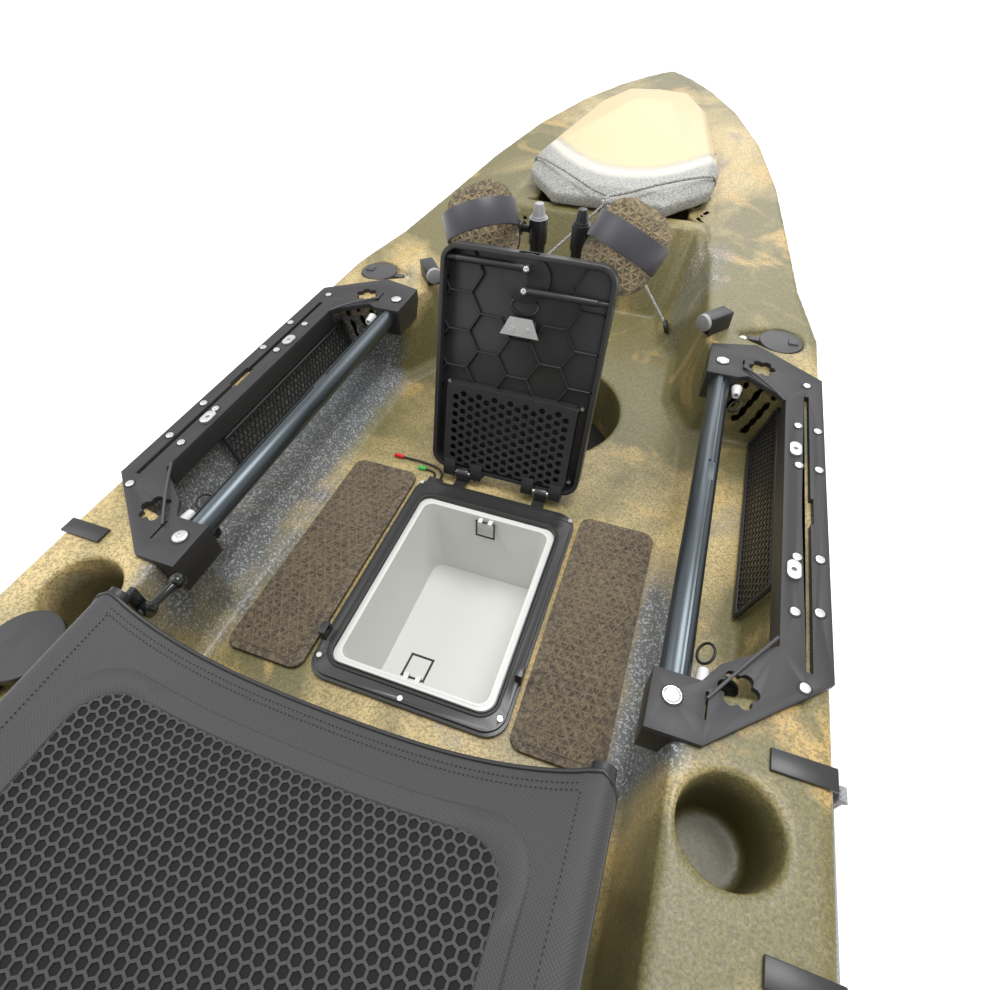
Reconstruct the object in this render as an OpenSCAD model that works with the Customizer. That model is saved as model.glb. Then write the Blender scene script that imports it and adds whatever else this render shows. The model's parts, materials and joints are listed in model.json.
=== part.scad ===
// Pedal-drive fishing kayak, sit-on-top, with a raised sling seat, side gear rails and a centre hatch.
// Frame: +Y to the bow, +X to starboard, +Z up. The keel strakes stand on Z = 0, and X = Y = 0 is mid-length.

/* [Hull] */
// Wall of the moulded hull
wall = 6; // [5:0.5:7]
// Height of the cockpit floor above the keel
floor_z = 205; // [203:1:206]
// Height of the gunwale at the side plates
gunwale_z = 362; // [362:1:362]
// Depth of the channel under the keel that the folded fins lie in
tunnel_h = 32; // [30:1:33]
// Radius of the drive well
well_r = 160; // [156:1:162]

/* [Side gear] */
// Thickness of a side plate
plate_t = 8; // [6:1:8]
// Distance of a gear rail from the centreline
rail_x = 305; // [303:1:307]
// Gear rail, across its flats
rail_af = 32; // [30:1:34]
// Width of the accessory slot in a side plate
slot_w = 7; // [6:0.5:8]

/* [Centre hatch] */
// Hinge line of the hatch lid, along the kayak
hinge_y = 150; // [149:1:151]
// Height of the hinge line
hinge_z = 224; // [223:1:225]
// Length of the lid from its hinge line to its free edge
lid_len = 372; // [368:1:374]
// Width of the lid
lid_w = 256; // [252:1:258]
// Thickness of the lid
lid_t = 26; // [24:1:28]
// Angle that the lid stands open past closed
lid_open = 106.8; // [100:0.1:110]

/* [Seat] */
// Width between the centres of the seat's side tubes
seat_w = 498; // [490:1:504]
// Height of the seat's side tubes
seat_z = 436; // [430:1:440]
// Lean of the backrest behind upright
back_lean = 12; // [8:1:16]

/* [Drive] */
// Distance of a crank arm from the centreline
arm_x = 35; // [34:1:37]
// Height of the crank shaft
shaft_z = 170; // [168:1:172]
// Height of the pedal axles
axle_z = 530; // [525:1:535]
// Length of a fin
fin_len = 330; // [300:5:335]

/* [Hidden] */

plate_top = gunwale_z + plate_t;
gap = 0.5;          // clearance between pieces that move apart
draw_fn = 40;

// Hull lines: place along the kayak, half beam, gunwale height, keel height
LINES = [[-1790, 205, 352, 96], [-1760, 236, 352, 58], [-1650, 286, 350, 20], [-1400, 348, 348, 4],
    [-1100, 402, 350, 0], [-800, 438, 354, 0], [-500, 455, 360, 0], [-240, 458, 362, 0],
    [540, 458, 362, 0], [700, 424, 368, 0], [920, 396, 380, 4], [1150, 362, 398, 16],
    [1380, 306, 420, 44], [1580, 226, 440, 96], [1720, 142, 454, 170], [1810, 66, 464, 270],
    [1845, 16, 470, 380]];
bow_y = LINES[len(LINES) - 1][0];
stern_y = LINES[0][0];
function line_at(y, column) = lookup(y, [for (s = LINES) [s[0], s[column]]]);
function half_beam(y) = line_at(y, 1);
function sheer(y) = line_at(y, 2);
function keel(y) = line_at(y, 3);
function tunnel(y) = tunnel_h * min(1, max(0, (y + 1700) / 400), 1) * min(1, max(0, (1500 - y) / 400));

// Half section of the bottom moulding as shares of the half beam and of the depth
BILGE = [[0.34, 0], [0.60, 0], [0.80, 0.10], [0.93, 0.30], [0.99, 0.62], [1, 0.85]];

// Right half of the bottom's section, from the keel out; d moves it inwards
function bottom_half(y, d, top) = let (b = half_beam(y), s = (b - d) / b, k = keel(y), h = sheer(y) - k)
    concat([[0, k + tunnel(y) + d], [0.19 * b * s, k + tunnel(y) + d], [0.27 * b * s, k + 0.15 * tunnel(y) + d]],
        [for (p = BILGE) [p[0] * b * s, k + p[1] * h + d * (1 - p[1])]], [[b * s, top]]);
function mirrored(half) = concat([for (i = [len(half) - 1:-1:1]) [-half[i][0], half[i][1]]], half);
function backwards(list) = [for (i = [len(list) - 1:-1:0]) list[i]];
function ring_at(y, section) = [for (p = section) [p[0], y, p[1]]];

// A closed solid through rings that all have the same number of points
module loft(rings) {
    n = len(rings[0]);
    m = len(rings);
    points = [for (r = rings) each r];
    sides = [for (j = [0:m - 2], i = [0:n - 1]) let (a = j * n + i, b = j * n + (i + 1) % n)
        each [[a, b, b + n], [a, b + n, a + n]]];
    polyhedron(points, concat(sides, [[for (i = [n - 1:-1:0]) i]], [[for (i = [0:n - 1]) (m - 1) * n + i]]));
}

// A tube of diameter d along points
function unit(v) = v / norm(v);
function along(p, i) = unit(p[min(i + 1, len(p) - 1)] - p[max(i - 1, 0)]);
module tube(p, d, sides = 8) {
    loft([for (i = [0:len(p) - 1]) let (t = along(p, i), side = unit(cross(t, abs(t[2]) > 0.9 ? [1, 0, 0] : [0, 0, 1])),
        up = cross(side, t)) [for (k = [0:sides - 1]) p[i] + d / 2 * (cos(360 * k / sides) * side
        + sin(360 * k / sides) * up)]]);
}

module both() {
    children();
    mirror([1, 0, 0]) children();
}
module rod(a, b, r) {
    v = b - a;
    translate(a) rotate([0, acos(v[2] / norm(v)), atan2(v[1], v[0])]) cylinder(h = norm(v), r = r, $fn = draw_fn);
}
module rounded(w, l, r) {
    square([w - 2 * r, l], center = true);
    square([w, l - 2 * r], center = true);
    for (x = [-1, 1], y = [-1, 1]) translate([x * (w / 2 - r), y * (l / 2 - r)]) circle(r = r, $fn = draw_fn);
}
module slab(w, l, r, z0, z1, y = 0) {
    translate([0, y, z0]) linear_extrude(z1 - z0) rounded(w, l, r);
}
module cord_run(a, b, z_sag, d) {
    steps = 8;
    tube([for (i = [0:steps]) let (t = i / steps) a + t * (b - a) - [0, 0, 4 * z_sag * t * (1 - t)]], d);
}

// ---- hull ----
strake_x = 205;
module strakes() {
    for (y = [-1300, -800, -300, 200, 700]) both() hull() {
        translate([strake_x, y, 3]) cube([34, 10, 6], center = true);
        translate([strake_x, y + 420, 3]) cube([34, 10, 6], center = true);
    }
}
module hull_bottom() color("darkkhaki") difference() {
    union() {
        loft([for (s = LINES) ring_at(s[0], mirrored(bottom_half(s[0], 0, s[2] - wall)))]);
        strakes();
    }
    hollow = [for (s = LINES) if (s[0] > stern_y && s[0] < 1800) s[0]];
    loft([for (y = hollow) ring_at(y, mirrored(bottom_half(y, wall, sheer(y) + 20)))]);
    translate([0, well_y, -50]) cylinder(h = 250, r = well_r, $fn = 64);
}

// Deck sections: place, floor edge x and z, wall foot x and z, wall top x and z, inner edge of the side deck
DECK = [[-1790, 60, 358, 100, 357, 130, 355, 160], [-1660, 90, 358, 150, 356, 190, 354, 220],
    [-1610, 170, 262, 185, 276, 200, 330, 210], [-1400, 230, 258, 246, 272, 256, 330, 264],
    [-1000, 270, 250, 286, 264, 296, 330, 304], [-950, 270, 338, 286, 340, 296, 342, 304],
    [-905, 270, 338, 286, 340, 296, 342, 304], [-850, 280, floor_z, 292, 218, 306, 330, 312],
    [-400, 282, floor_z, 294, 218, 306, 330, 312], [-185, 284, floor_z, 294, 218, 306, 330, 312],
    [-160, 284, floor_z, 322, 238, 396, 236, 430], [370, 276, floor_z, 322, 238, 396, 236, 430],
    [395, 262, floor_z, 284, 222, 306, 330, 314], [480, 224, floor_z, 240, 222, 264, 330, 272],
    [630, 218, floor_z, 232, 222, 252, 335, 260],
    [700, 178, floor_z, 192, 230, 244, 340, 254], [790, 160, floor_z, 178, 232, 234, 348, 246],
    [870, 182, 386, 202, 388, 226, 386, 240], [905, 170, 390, 190, 390, 214, 388, 238],
    [940, 150, 150, 164, 170, 180, 386, 236], [1440, 86, 190, 96, 205, 106, 420, 200],
    [1475, 84, 432, 96, 431, 106, 430, 190], [1600, 60, 448, 90, 447, 120, 445, 150],
    [1740, 30, 462, 60, 460, 80, 458, 96], [1845, 3, 472, 6, 472, 9, 471, 11]];
well_y = 400;
function sorted(list) = len(list) < 2 ? list : let (p = list[floor(len(list) / 2)])
    concat(sorted([for (v = list) if (v < p) v]), [p], sorted([for (v = list) if (v > p) v]));
STATIONS = sorted(concat([for (s = LINES) s[0]], [for (s = DECK) s[0]]));
function deck_at(y, column) = lookup(y, [for (s = DECK) [s[0], s[column]]]);

function deck_top(y) = let (b = half_beam(y), g = sheer(y), s = [for (i = [0:7]) deck_at(y, i)])
    [[0, s[2]], [s[1] * 0.5, s[2]], [s[1], s[2]], [s[3], s[4]], [s[5], s[6]], [s[7], g - 3],
    [s[7] + min(10, b * 0.1), g], [b - min(6, b * 0.1), g], [b, g - 3]];
// The same section one wall thickness lower, each point moved square to the section's run
function under(p) = [for (i = [0:len(p) - 1]) let (t = unit(p[min(i + 1, len(p) - 1)] - p[max(i - 1, 0)]))
    [p[i][0] + wall * t[1], p[i][1] - wall * t[0]]];
function deck_ring(y) = let (top = deck_top(y), n = len(top), u = under(top), b = half_beam(y), g = sheer(y),
    low = concat([for (i = [0:n - 5]) u[i]], [[min(u[n - 4][0], b - 1.5), g - wall], [b, g - wall]]))
    concat([for (i = [n - 1:-1:1]) [-top[i][0], top[i][1]]], top, [for (i = [len(low) - 1:-1:0]) low[i]],
    [for (i = [1:len(low) - 1]) [-low[i][0], low[i][1]]]);

cup_x = 370;
cup_y = -300;
cup_r = 46;
cup_depth = 96;
module cup_solid(grow, z0, z1) {
    hull() {
        translate([cup_x, cup_y, z0]) cylinder(h = 1, r = cup_r - 6 + grow, $fn = 32);
        translate([cup_x, cup_y, z1]) cylinder(h = 1, r = cup_r + 2 + grow, $fn = 32);
    }
}
base_z = 62;
cap_x = 397;
cap_y = 519;
module cap_recess(grow, z0) {
    hull() {
        translate([cap_x, cap_y, z0]) cylinder(h = 20, r = 38 + grow, $fn = 32);
        translate([cap_x - 64, cap_y, z0]) cylinder(h = 20, r = 9 + grow, $fn = 32);
    }
}
opening_w = 244;
opening_y0 = -232;
opening_y1 = 92;
// The deck is parted at two of its stations, so that its wells collide as open spaces
mid_y0 = -905;
mid_y1 = 870;
module deck_skin(y0, y1) loft([for (y = STATIONS) if (y >= y0 && y <= y1) ring_at(y, backwards(deck_ring(y)))]);
module hull_stern_deck() color("darkkhaki") deck_skin(stern_y, mid_y0);
module hull_bow_deck() color("darkkhaki") deck_skin(mid_y1, bow_y);
module hull_mid_deck() color("darkkhaki") difference() {
    union() {
        deck_skin(mid_y0, mid_y1);
        both() cup_solid(wall, sheer(cup_y) - cup_depth - wall, sheer(cup_y) - 4);
        both() cap_recess(wall, gunwale_z - 22);
        translate([0, well_y, tunnel_h + 4]) cylinder(h = floor_z - tunnel_h - 6, r = well_r, $fn = 64);
    }
    both() cup_solid(0, sheer(cup_y) - cup_depth, sheer(cup_y) + 3);
    both() cap_recess(0, gunwale_z - 12);
    translate([0, well_y, base_z - 0.5]) cylinder(h = 300, r = well_r - wall, $fn = 64);
    translate([0, well_y, 0]) cylinder(h = 300, r = well_r - wall - 8, $fn = 64);
    hull() for (y = [opening_y0 + 20, opening_y1 - 20]) translate([0, y, floor_z]) {
        cube([opening_w - 40, 40, 40], center = true);
        cube([opening_w, 10, 40], center = true);
    }
}

// ---- side plates and rails (drawn to starboard) ----
PLATE = [[281, 456], [355, 475], [458, 403], [458, -134], [337, -240], [281, -240], [281, -174], [330, -174],
    [346, -150], [404, -107], [404, 336], [346, 378], [330, 370], [281, 370]];
SCREWS = [[435, 381], [449, 271], [422, 275], [449, 187], [423, 188], [447, 27], [421, 22], [445, -51],
    [419, -58], [429, -148]];
ANCHORS = [[418, 219], [417, 0]];
RAIL_SCREWS = [[303, 408], [303, -200]];
FLOWERS = [[366, 408], [366, -172]];
slot_x = 434;
slot_y0 = -129;
slot_y1 = 352;
module flower() {
    circle(r = 16, $fn = draw_fn);
    for (a = [0:60:300]) rotate(a) translate([14, 0]) circle(r = 7, $fn = draw_fn);
}
module side_plate() color("dimgray") {
    translate([404, -107, gunwale_z - 26]) cube([3, 443, 27]);
    plate_top_face();
}
module plate_top_face() translate([0, 0, gunwale_z]) linear_extrude(plate_t) difference() {
    polygon(PLATE);
    translate([slot_x - slot_w / 2, slot_y0]) square([slot_w, slot_y1 - slot_y0]);
    translate([slot_x - 7, 82]) square([14, 46]);
    for (p = SCREWS) translate(p) circle(r = 2.6, $fn = draw_fn);
    for (p = ANCHORS) translate(p) circle(r = 6, $fn = draw_fn);
    for (p = RAIL_SCREWS) translate(p) circle(r = 4.2, $fn = draw_fn);
    for (p = FLOWERS) translate(p) flower();
    translate([335, -214]) square([3, 30]);
    translate([335, 392]) square([3, 30]);
}
bracket_h = 44;
rail_y0 = -174;
rail_y1 = 370;
rail_z = plate_top - rail_af / 2 - 2;
module rail_bracket(y0, y1, spigot_y) {
    difference() {
        translate([281, y0, gunwale_z - bracket_h]) cube([48, y1 - y0, bracket_h]);
        translate([RAIL_SCREWS[0][0], spigot_y > 0 ? 408 : -200, 200]) cylinder(h = 300, r = 4.2, $fn = draw_fn);
    }
    rod([rail_x, spigot_y, rail_z], [rail_x, spigot_y + (spigot_y > 0 ? -30 : 30), rail_z], 8.5);
}
module rail_brackets() color("dimgray") both() {
    rail_bracket(-240, rail_y0, rail_y0);
    rail_bracket(rail_y1, 456, rail_y1);
}
module gear_rail() color("slategray") difference() {
    translate([rail_x, rail_y0, rail_z]) rotate([-90, 0, 0]) rotate(15)
        cylinder(h = rail_y1 - rail_y0, r = rail_af / 2 / cos(15), $fn = 12);
    translate([rail_x, rail_y0 - 1, rail_z]) rotate([-90, 0, 0]) cylinder(h = rail_y1 - rail_y0 + 2, r = 9, $fn = draw_fn);
    translate([rail_x + 3, rail_y0 - 1, rail_z + 12]) cube([4, rail_y1 - rail_y0 + 2, 10]);
    translate([rail_x, 125, rail_z + 12]) cube([10, 38, 10]);
}
module cap_screw(p, z, head_r, shank_r, depth) translate([p[0], p[1], z]) {
    cylinder(h = 1.6, r = head_r, $fn = draw_fn);
    translate([0, 0, -depth]) cylinder(h = depth, r = shank_r, $fn = draw_fn);
}
FRAME_SCREWS = [[-129, -226], [129, -226], [-131, 112], [131, 112], [0, -244]];
module deck_screws() color("gainsboro") {
    both() for (p = SCREWS) cap_screw(p, plate_top, 5, 2.4, 22);
    both() for (p = RAIL_SCREWS) cap_screw(p, plate_top, 9.5, 4, 40);
    both() cap_screw([cap_x - 64, cap_y], gunwale_z - 9, 6, 2.4, 12);
    for (p = FRAME_SCREWS) cap_screw(p, frame_z, 3.6, 1.8, 20);
}
module line_anchors() color("silver") both() for (p = ANCHORS) translate([p[0], p[1], plate_top]) difference() {
    union() {
        linear_extrude(4) {
            square([16, 12], center = true);
            for (s = [-1, 1]) translate([0, 6 * s]) circle(r = 8, $fn = draw_fn);
        }
        translate([0, 0, -7.5]) cylinder(h = 8, r = 5.8, $fn = draw_fn);
    }
    translate([0, 0, -6]) cylinder(h = 20, r = 3, $fn = draw_fn);
}
// Storage nets lean on the outer wall of each side pocket
module side_nets() color([0.1, 0.1, 0.1]) both() rotate([90, 0, 0]) translate([0, 0, -366]) linear_extrude(366)
    polygon([[386, 241], [390, 241], [409, 330], [405, 330]]);
module rod_straps() color([0.12, 0.12, 0.12]) both() for (s = [[-214, -104, 1], [422, 336, -1]])
    cord_run([336.5, s[0] + 22 * s[2], plate_top + 3], [402, s[1] + 6 * s[2], plate_top + 3], -3, 4);
module bungee_eyes() color("lightgray") both() for (s = [-1, 1])
    translate([334, s > 0 ? rail_y1 - 4 : rail_y0 + 4, 350]) rotate([90 * s, 0, 0]) difference() {
        cylinder(h = 20, r1 = 9, r2 = 6, $fn = draw_fn);
        translate([0, 0, -1]) cylinder(h = 30, r = 3, $fn = draw_fn);
    }
module tube_plugs() color([0.1, 0.1, 0.1]) both() translate([366, -128, 276]) rotate([-90, 0, 0]) {
    cylinder(h = 6, r = 24, $fn = draw_fn);
    translate([0, 0, 6]) cylinder(h = 8, r1 = 22, r2 = 14, $fn = draw_fn);
}
// Rudder line pull handles, in holders that point out over the corner of the side deck
handle_at = [257, 490, 384];
handle_turn = 40;
module handle_pose() translate(handle_at) rotate([0, 0, -handle_turn]) children();
module line_handle_holders() color([0.12, 0.12, 0.12]) both() handle_pose() difference() {
    translate([-13, 9, -21.5]) cube([26, 52, 32]);
    translate([0, 4, 0]) rotate([-90, 0, 0]) cylinder(h = 50, r = 5.65, $fn = draw_fn);
}
module line_handle() color("gray") handle_pose() {
    rotate([-90, 0, 0]) cylinder(h = 8, r = 15, $fn = draw_fn);
    translate([0, 7, 0]) rotate([-90, 0, 0]) cylinder(h = 44, r = 5.6, $fn = draw_fn);
}
module deck_cap() color([0.15, 0.15, 0.15]) {
    translate([cap_x, cap_y, gunwale_z - 11]) cylinder(h = 9, r = 36, $fn = 64);
    translate([cap_x + 12, cap_y - 8, gunwale_z - 2]) cube([16, 16, 3]);
    translate([cap_x - 54, cap_y - 6, gunwale_z - 9]) cube([26, 12, 4]);
}
mount_y = [-228, -392];
module carry_handle_mounts() color([0.12, 0.12, 0.12]) both() for (y = mount_y) {
    translate([456, y, 336]) rotate([0, 90, 0]) cylinder(h = 12, r = 11, $fn = draw_fn);
    translate([400, y - 11, 362]) cube([60, 22, 4]);
}
module carry_handle() color([0.16, 0.16, 0.16]) {
    for (y = mount_y) {
        rod([474, y - 7, 336], [474, y + 7, 336], 5);
        translate([471, y - 6, 296]) cube([6, 12, 40]);
    }
    rod([474, mount_y[0] + 8, 296], [474, mount_y[1] - 8, 296], 9);
}

// ---- centre hatch ----
frame_z = 217;
frame_y = -62;
module hatch_frame() color([0.1, 0.1, 0.1]) difference() {
    union() {
        slab(280, 380, 30, floor_z, frame_z - 5, frame_y);
        slab(272, 372, 28, frame_z - 6, frame_z, frame_y);
        slab(238, 318, 22, frame_z - 2, frame_z + 4, -70);
        both() translate([60, hinge_y - 8.6, frame_z - 12]) cube([20, 17.2, hinge_z - frame_z + 12]);
        both() translate([60, hinge_y, hinge_z]) rotate([0, 90, 0]) cylinder(h = 20, r = 8.6, $fn = draw_fn);
        both() translate([60, 120, frame_z - 12]) cube([20, 20, 8]);
        for (s = [-1, 1]) translate([s * 135.5 - 4.5, rod_y + s * pin_r - 9, frame_z - 4]) cube([9, 18, 24]);
        translate([-127, 120, floor_z]) cube([26, 14, 7]);
    }
    slab(224, 304, 16, 100, 300, -70);
    slab(234, 314, 20, frame_z - 7, 300, -70);
    translate([-200, hinge_y, hinge_z]) rotate([0, 90, 0]) cylinder(h = 400, r = 4.02, $fn = draw_fn);
    for (s = [-1, 1]) translate([0, rod_y + s * pin_r, rod_z]) rotate([0, 90 * s, 0]) cylinder(h = 400, r = 5, $fn = draw_fn);
    for (p = FRAME_SCREWS) translate([p[0], p[1], 100]) cylinder(h = 200, r = 2, $fn = draw_fn);
}
module hatch_seal() color([0.05, 0.05, 0.05]) difference() {
    slab(248, 328, 27, frame_z, frame_z + 3, -70);
    slab(239, 319, 23, 100, 300, -70);
}
module hinge_pins() color("silver") both() translate([40, hinge_y, hinge_z]) rotate([0, 90, 0])
    cylinder(h = 42, r = 4, $fn = draw_fn);

// The lid is drawn shut and turned to its open rest position
module lid_rest() translate([0, hinge_y, hinge_z]) rotate([-lid_open, 0, 0]) translate([0, -hinge_y, -hinge_z]) children();
lid_z = 224;
lid_y0 = hinge_y + 6 - lid_len;
lid_mid = lid_y0 + lid_len / 2 - 5;
knob_y = hinge_y - 330;
rod_y = knob_y;
rod_z = lid_z + 7;
rod_r = 4;
pin_r = 15;
module hatch_lid() color([0.12, 0.12, 0.12]) lid_rest() difference() {
    union() {
        difference() {
            slab(lid_w, lid_len - 12, 26, lid_z, lid_z + lid_t, lid_mid);
            slab(lid_w - 12, lid_len - 24, 21, lid_z - 1, lid_z + lid_t - 6, lid_mid);
        }
        for (r = [0:2], c = [-2:2]) translate([c * 48, -80 + (r - 1) * 84 + (c % 2 == 0 ? 0 : 42), lid_z + lid_t - 12])
            difference() {
                cylinder(h = 8, r = 28, $fn = 6);
                translate([0, 0, -1]) cylinder(h = 10, r = 25.5, $fn = 6);
            }
        both() translate([36, hinge_y - 22, lid_z - 6]) cube([20, 28, lid_t]);
        both() translate([84, hinge_y - 22, lid_z - 6]) cube([20, 28, lid_t]);
    }
    both() translate([59, hinge_y - 20, lid_z - 10]) cube([22, 40, 19]);
    translate([-200, hinge_y, hinge_z]) rotate([0, 90, 0]) cylinder(h = 400, r = 4.06, $fn = draw_fn);
    translate([0, knob_y, lid_z - 20]) cylinder(h = 100, r = 12.06, $fn = draw_fn);
    translate([0, knob_y, lid_z + 2]) cylinder(h = lid_t - 8, r = 38, $fn = draw_fn);
    for (s = [-1, 1]) translate([0, rod_y + s * pin_r, rod_z]) rotate([0, 90 * s, 0])
        cylinder(h = 400, r = rod_r + 0.1, $fn = draw_fn);
}
module lid_pocket() color([0.2, 0.2, 0.2]) lid_rest() difference() {
    slab(214, 143, 8, lid_z - 1, lid_z + lid_t - 7, 62.5);
    slab(206, 142, 5, lid_z + 2, 400, 66);
    for (c = [-7:7], r = [-4:4]) translate([c * 13, 66 + r * 15 + (c % 2 == 0 ? 0 : 7.5), 100]) cylinder(h = 200, r = 5.6, $fn = 6);
}
module line_cutter() color("gainsboro") lid_rest() translate([0, hinge_y - 250, lid_z + 4]) linear_extrude(2.5) difference() {
    polygon([[-30, 0], [30, 0], [17, -27], [-17, -27]]);
    for (x = [-11, 11]) translate([x, -10]) circle(r = 2, $fn = draw_fn);
}
module lid_screws() color("gainsboro") lid_rest() {
    for (x = [-11, 11]) translate([x, hinge_y - 260, lid_z + 2.4]) {
        cylinder(h = 1.6, r = 3.4, $fn = draw_fn);
        cylinder(h = lid_t - 10, r = 1.9, $fn = draw_fn);
    }
    both() for (y = [-4, 128]) translate([110.5, y, lid_z + lid_t - 9]) cylinder(h = 5, r = 3, $fn = draw_fn);
}
// Twist knob with a cam disc: its two pins push the latch rods out to the sides
module latch_knob() color([0.15, 0.15, 0.15]) lid_rest() translate([0, knob_y, 0]) {
    translate([0, 0, lid_z + 13]) cylinder(h = lid_t - 8, r = 12, $fn = draw_fn);
    translate([0, 0, lid_z + 13]) cylinder(h = 3, r = 34, $fn = 64);
    for (s = [-1, 1]) translate([0, s * pin_r, lid_z + 2]) cylinder(h = 12, r = 2.5, $fn = draw_fn);
    translate([0, 0, lid_z + lid_t + 0.8]) linear_extrude(8) rounded(76, 30, 14);
}
module latch_rod(s) color([0.18, 0.18, 0.18]) lid_rest() translate([0, rod_y + s * pin_r, rod_z]) difference() {
    union() {
        rod([s * 6, 0, 0], [s * 124, 0, 0], rod_r);
        translate([-8, -8, -4]) cube([16, 16, 6]);
    }
    translate([-3.2, -6, -20]) cube([6.4, 12, 40]);
}
liner_z = 48;
bail_r = 1.5;
bail_y0 = -210;
bail_y1 = 71;
bail_z = 207;
module hatch_liner() color("lightgray") difference() {
    union() {
        hull() {
            slab(206, 286, 22, liner_z, liner_z + 2, -70);
            slab(220, 300, 18, 212, 214, -70);
        }
        slab(232, 312, 18, 210.5, 213.5, -70);
    }
    difference() {
        hull() {
            slab(198, 278, 18, liner_z + 4, liner_z + 6, -70);
            slab(213, 293, 15, 219, 220, -70);
        }
        both() translate([5, bail_y1 - 4, bail_z - 4]) cube([7, 20, 7]);
        both() translate([5, bail_y0 - 16, bail_z - 4]) cube([7, 20, 7]);
    }
    for (y = [bail_y0, bail_y1]) translate([-50, y, bail_z]) rotate([0, 90, 0]) cylinder(h = 100, r = bail_r + 0.05, $fn = draw_fn);
}
module bail_wire(len_y) {
    rod([-17, 0, 0], [17, 0, 0], bail_r);
    both() rod([15.5, -0.5, 0], [15.5, -len_y, 0], bail_r);
    rod([-17, -len_y, 0], [17, -len_y, 0], bail_r);
}
module bail_front() color([0.1, 0.1, 0.1]) translate([0, bail_y1, bail_z]) rotate([86, 0, 0]) bail_wire(34);
module bail_rear() color([0.1, 0.1, 0.1]) translate([0, bail_y0, bail_z]) rotate([172, 0, 0]) bail_wire(34);
module deck_pads() color([0.42, 0.34, 0.26]) both() {
    translate([206, -60, floor_z]) linear_extrude(9) rounded(118, 386, 18);
}

// ---- pedal drive ----
drive_y = 430;
fin_mount = [[-40, 470], [40, 350]];
fin_axis_z = 24;
module drive_base() color([0.15, 0.15, 0.15]) {
    difference() {
        translate([0, well_y, base_z]) cylinder(h = 16, r = well_r - wall - 3, $fn = 64);
        translate([-18, 340, 0]) cube([36, 180, 200]);
    }
    for (p = fin_mount, s = [-1, 1]) difference() {
        translate([p[0] + s * 16 - 3, p[1] - 12, fin_axis_z - 10]) cube([6, 24, base_z - fin_axis_z + 12]);
        translate([p[0] - 30, p[1], fin_axis_z]) rotate([0, 90, 0]) cylinder(h = 60, r = 4.06, $fn = draw_fn);
    }
}
module drive_housing() color([0.2, 0.2, 0.2]) {
    difference() {
        union() {
            translate([-17, 350, base_z]) cube([34, 160, 90]);
            translate([-17, drive_y, shaft_z]) rotate([0, 90, 0]) cylinder(h = 34, r = 42, $fn = 64);
        }
        translate([-30, drive_y, shaft_z]) rotate([0, 90, 0]) cylinder(h = 60, r = 10, $fn = draw_fn);
    }
    translate([-58, drive_y, shaft_z]) rotate([0, 90, 0]) cylinder(h = 116, r = 9.9, $fn = draw_fn);
}
module crank_arm() color([0.1, 0.1, 0.1]) difference() {
    union() {
        translate([arm_x - 16, drive_y, shaft_z]) rotate([0, 90, 0]) cylinder(h = 32, r = 22, $fn = draw_fn);
        translate([arm_x, drive_y, shaft_z + 15]) cylinder(h = axle_z - shaft_z + 8, r = 12.5, $fn = draw_fn);
        translate([arm_x, drive_y, axle_z - 20]) cylinder(h = 40, r = 15, $fn = draw_fn);
        translate([arm_x, drive_y, axle_z + 18]) cylinder(h = 24, r1 = 12, r2 = 7, $fn = draw_fn);
        rod([arm_x, drive_y, axle_z], [170, drive_y, axle_z], 6);
    }
    translate([0, drive_y, shaft_z]) rotate([0, 90, 0]) cylinder(h = 100, r = 9.96, $fn = draw_fn);
}
// Pedals lean forward of upright, behind their axle
pedal_x = 114;
pedal_lean = 30;
pedal_back = 43;
pad_splay = 22;
module pedal_rest() translate([pedal_x, drive_y, axle_z]) rotate([-pedal_lean, 0, 0]) translate([0, -pedal_back, 6]) children();
// The pad and its strap turn out at the top, about the middle of the pad.
module pad_rest() pedal_rest() translate([0, 0, -17]) rotate([0, pad_splay, 0]) children();
module pedal() color([0.42, 0.36, 0.28]) {
    pad_rest() rotate([90, 0, 0]) linear_extrude(9, center = true) rounded(112, 126, 40);
    difference() {
        union() {
            rod([62, drive_y, axle_z], [160, drive_y, axle_z], 11);
            pedal_rest() translate([-50, 4, -16]) cube([96, pedal_back - 2, 20]);
        }
        rod([0, drive_y, axle_z], [300, drive_y, axle_z], 6.06);
    }
}
module pedal_strap() color([0.25, 0.25, 0.27]) pad_rest() translate([0, -5, -14]) difference() {
    cylinder(h = 40, r = 59.5, $fn = 64);
    translate([0, 0, -1]) cylinder(h = 60, r = 56, $fn = 64);
    translate([-100, 9.5, -1]) cube([200, 100, 60]);
}
module fin(p) color([0.2, 0.22, 0.24]) {
    translate([p[0] - 12, p[1], fin_axis_z]) rotate([0, 90, 0]) cylinder(h = 24, r = 8, $fn = draw_fn);
    rod([p[0] - 20, p[1], fin_axis_z], [p[0] + 20, p[1], fin_axis_z], 4);
    rod([p[0], p[1] - 4, 18], [p[0], p[1] - 60, 12], 5);
    translate([p[0], p[1] - 46, 7]) linear_extrude(9) polygon([[-16, 0], [16, 0], [35, -70], [33, -180],
        [12, 46 - fin_len], [-4, 46 - fin_len], [-28, -180], [-35, -70]]);
}

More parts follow.
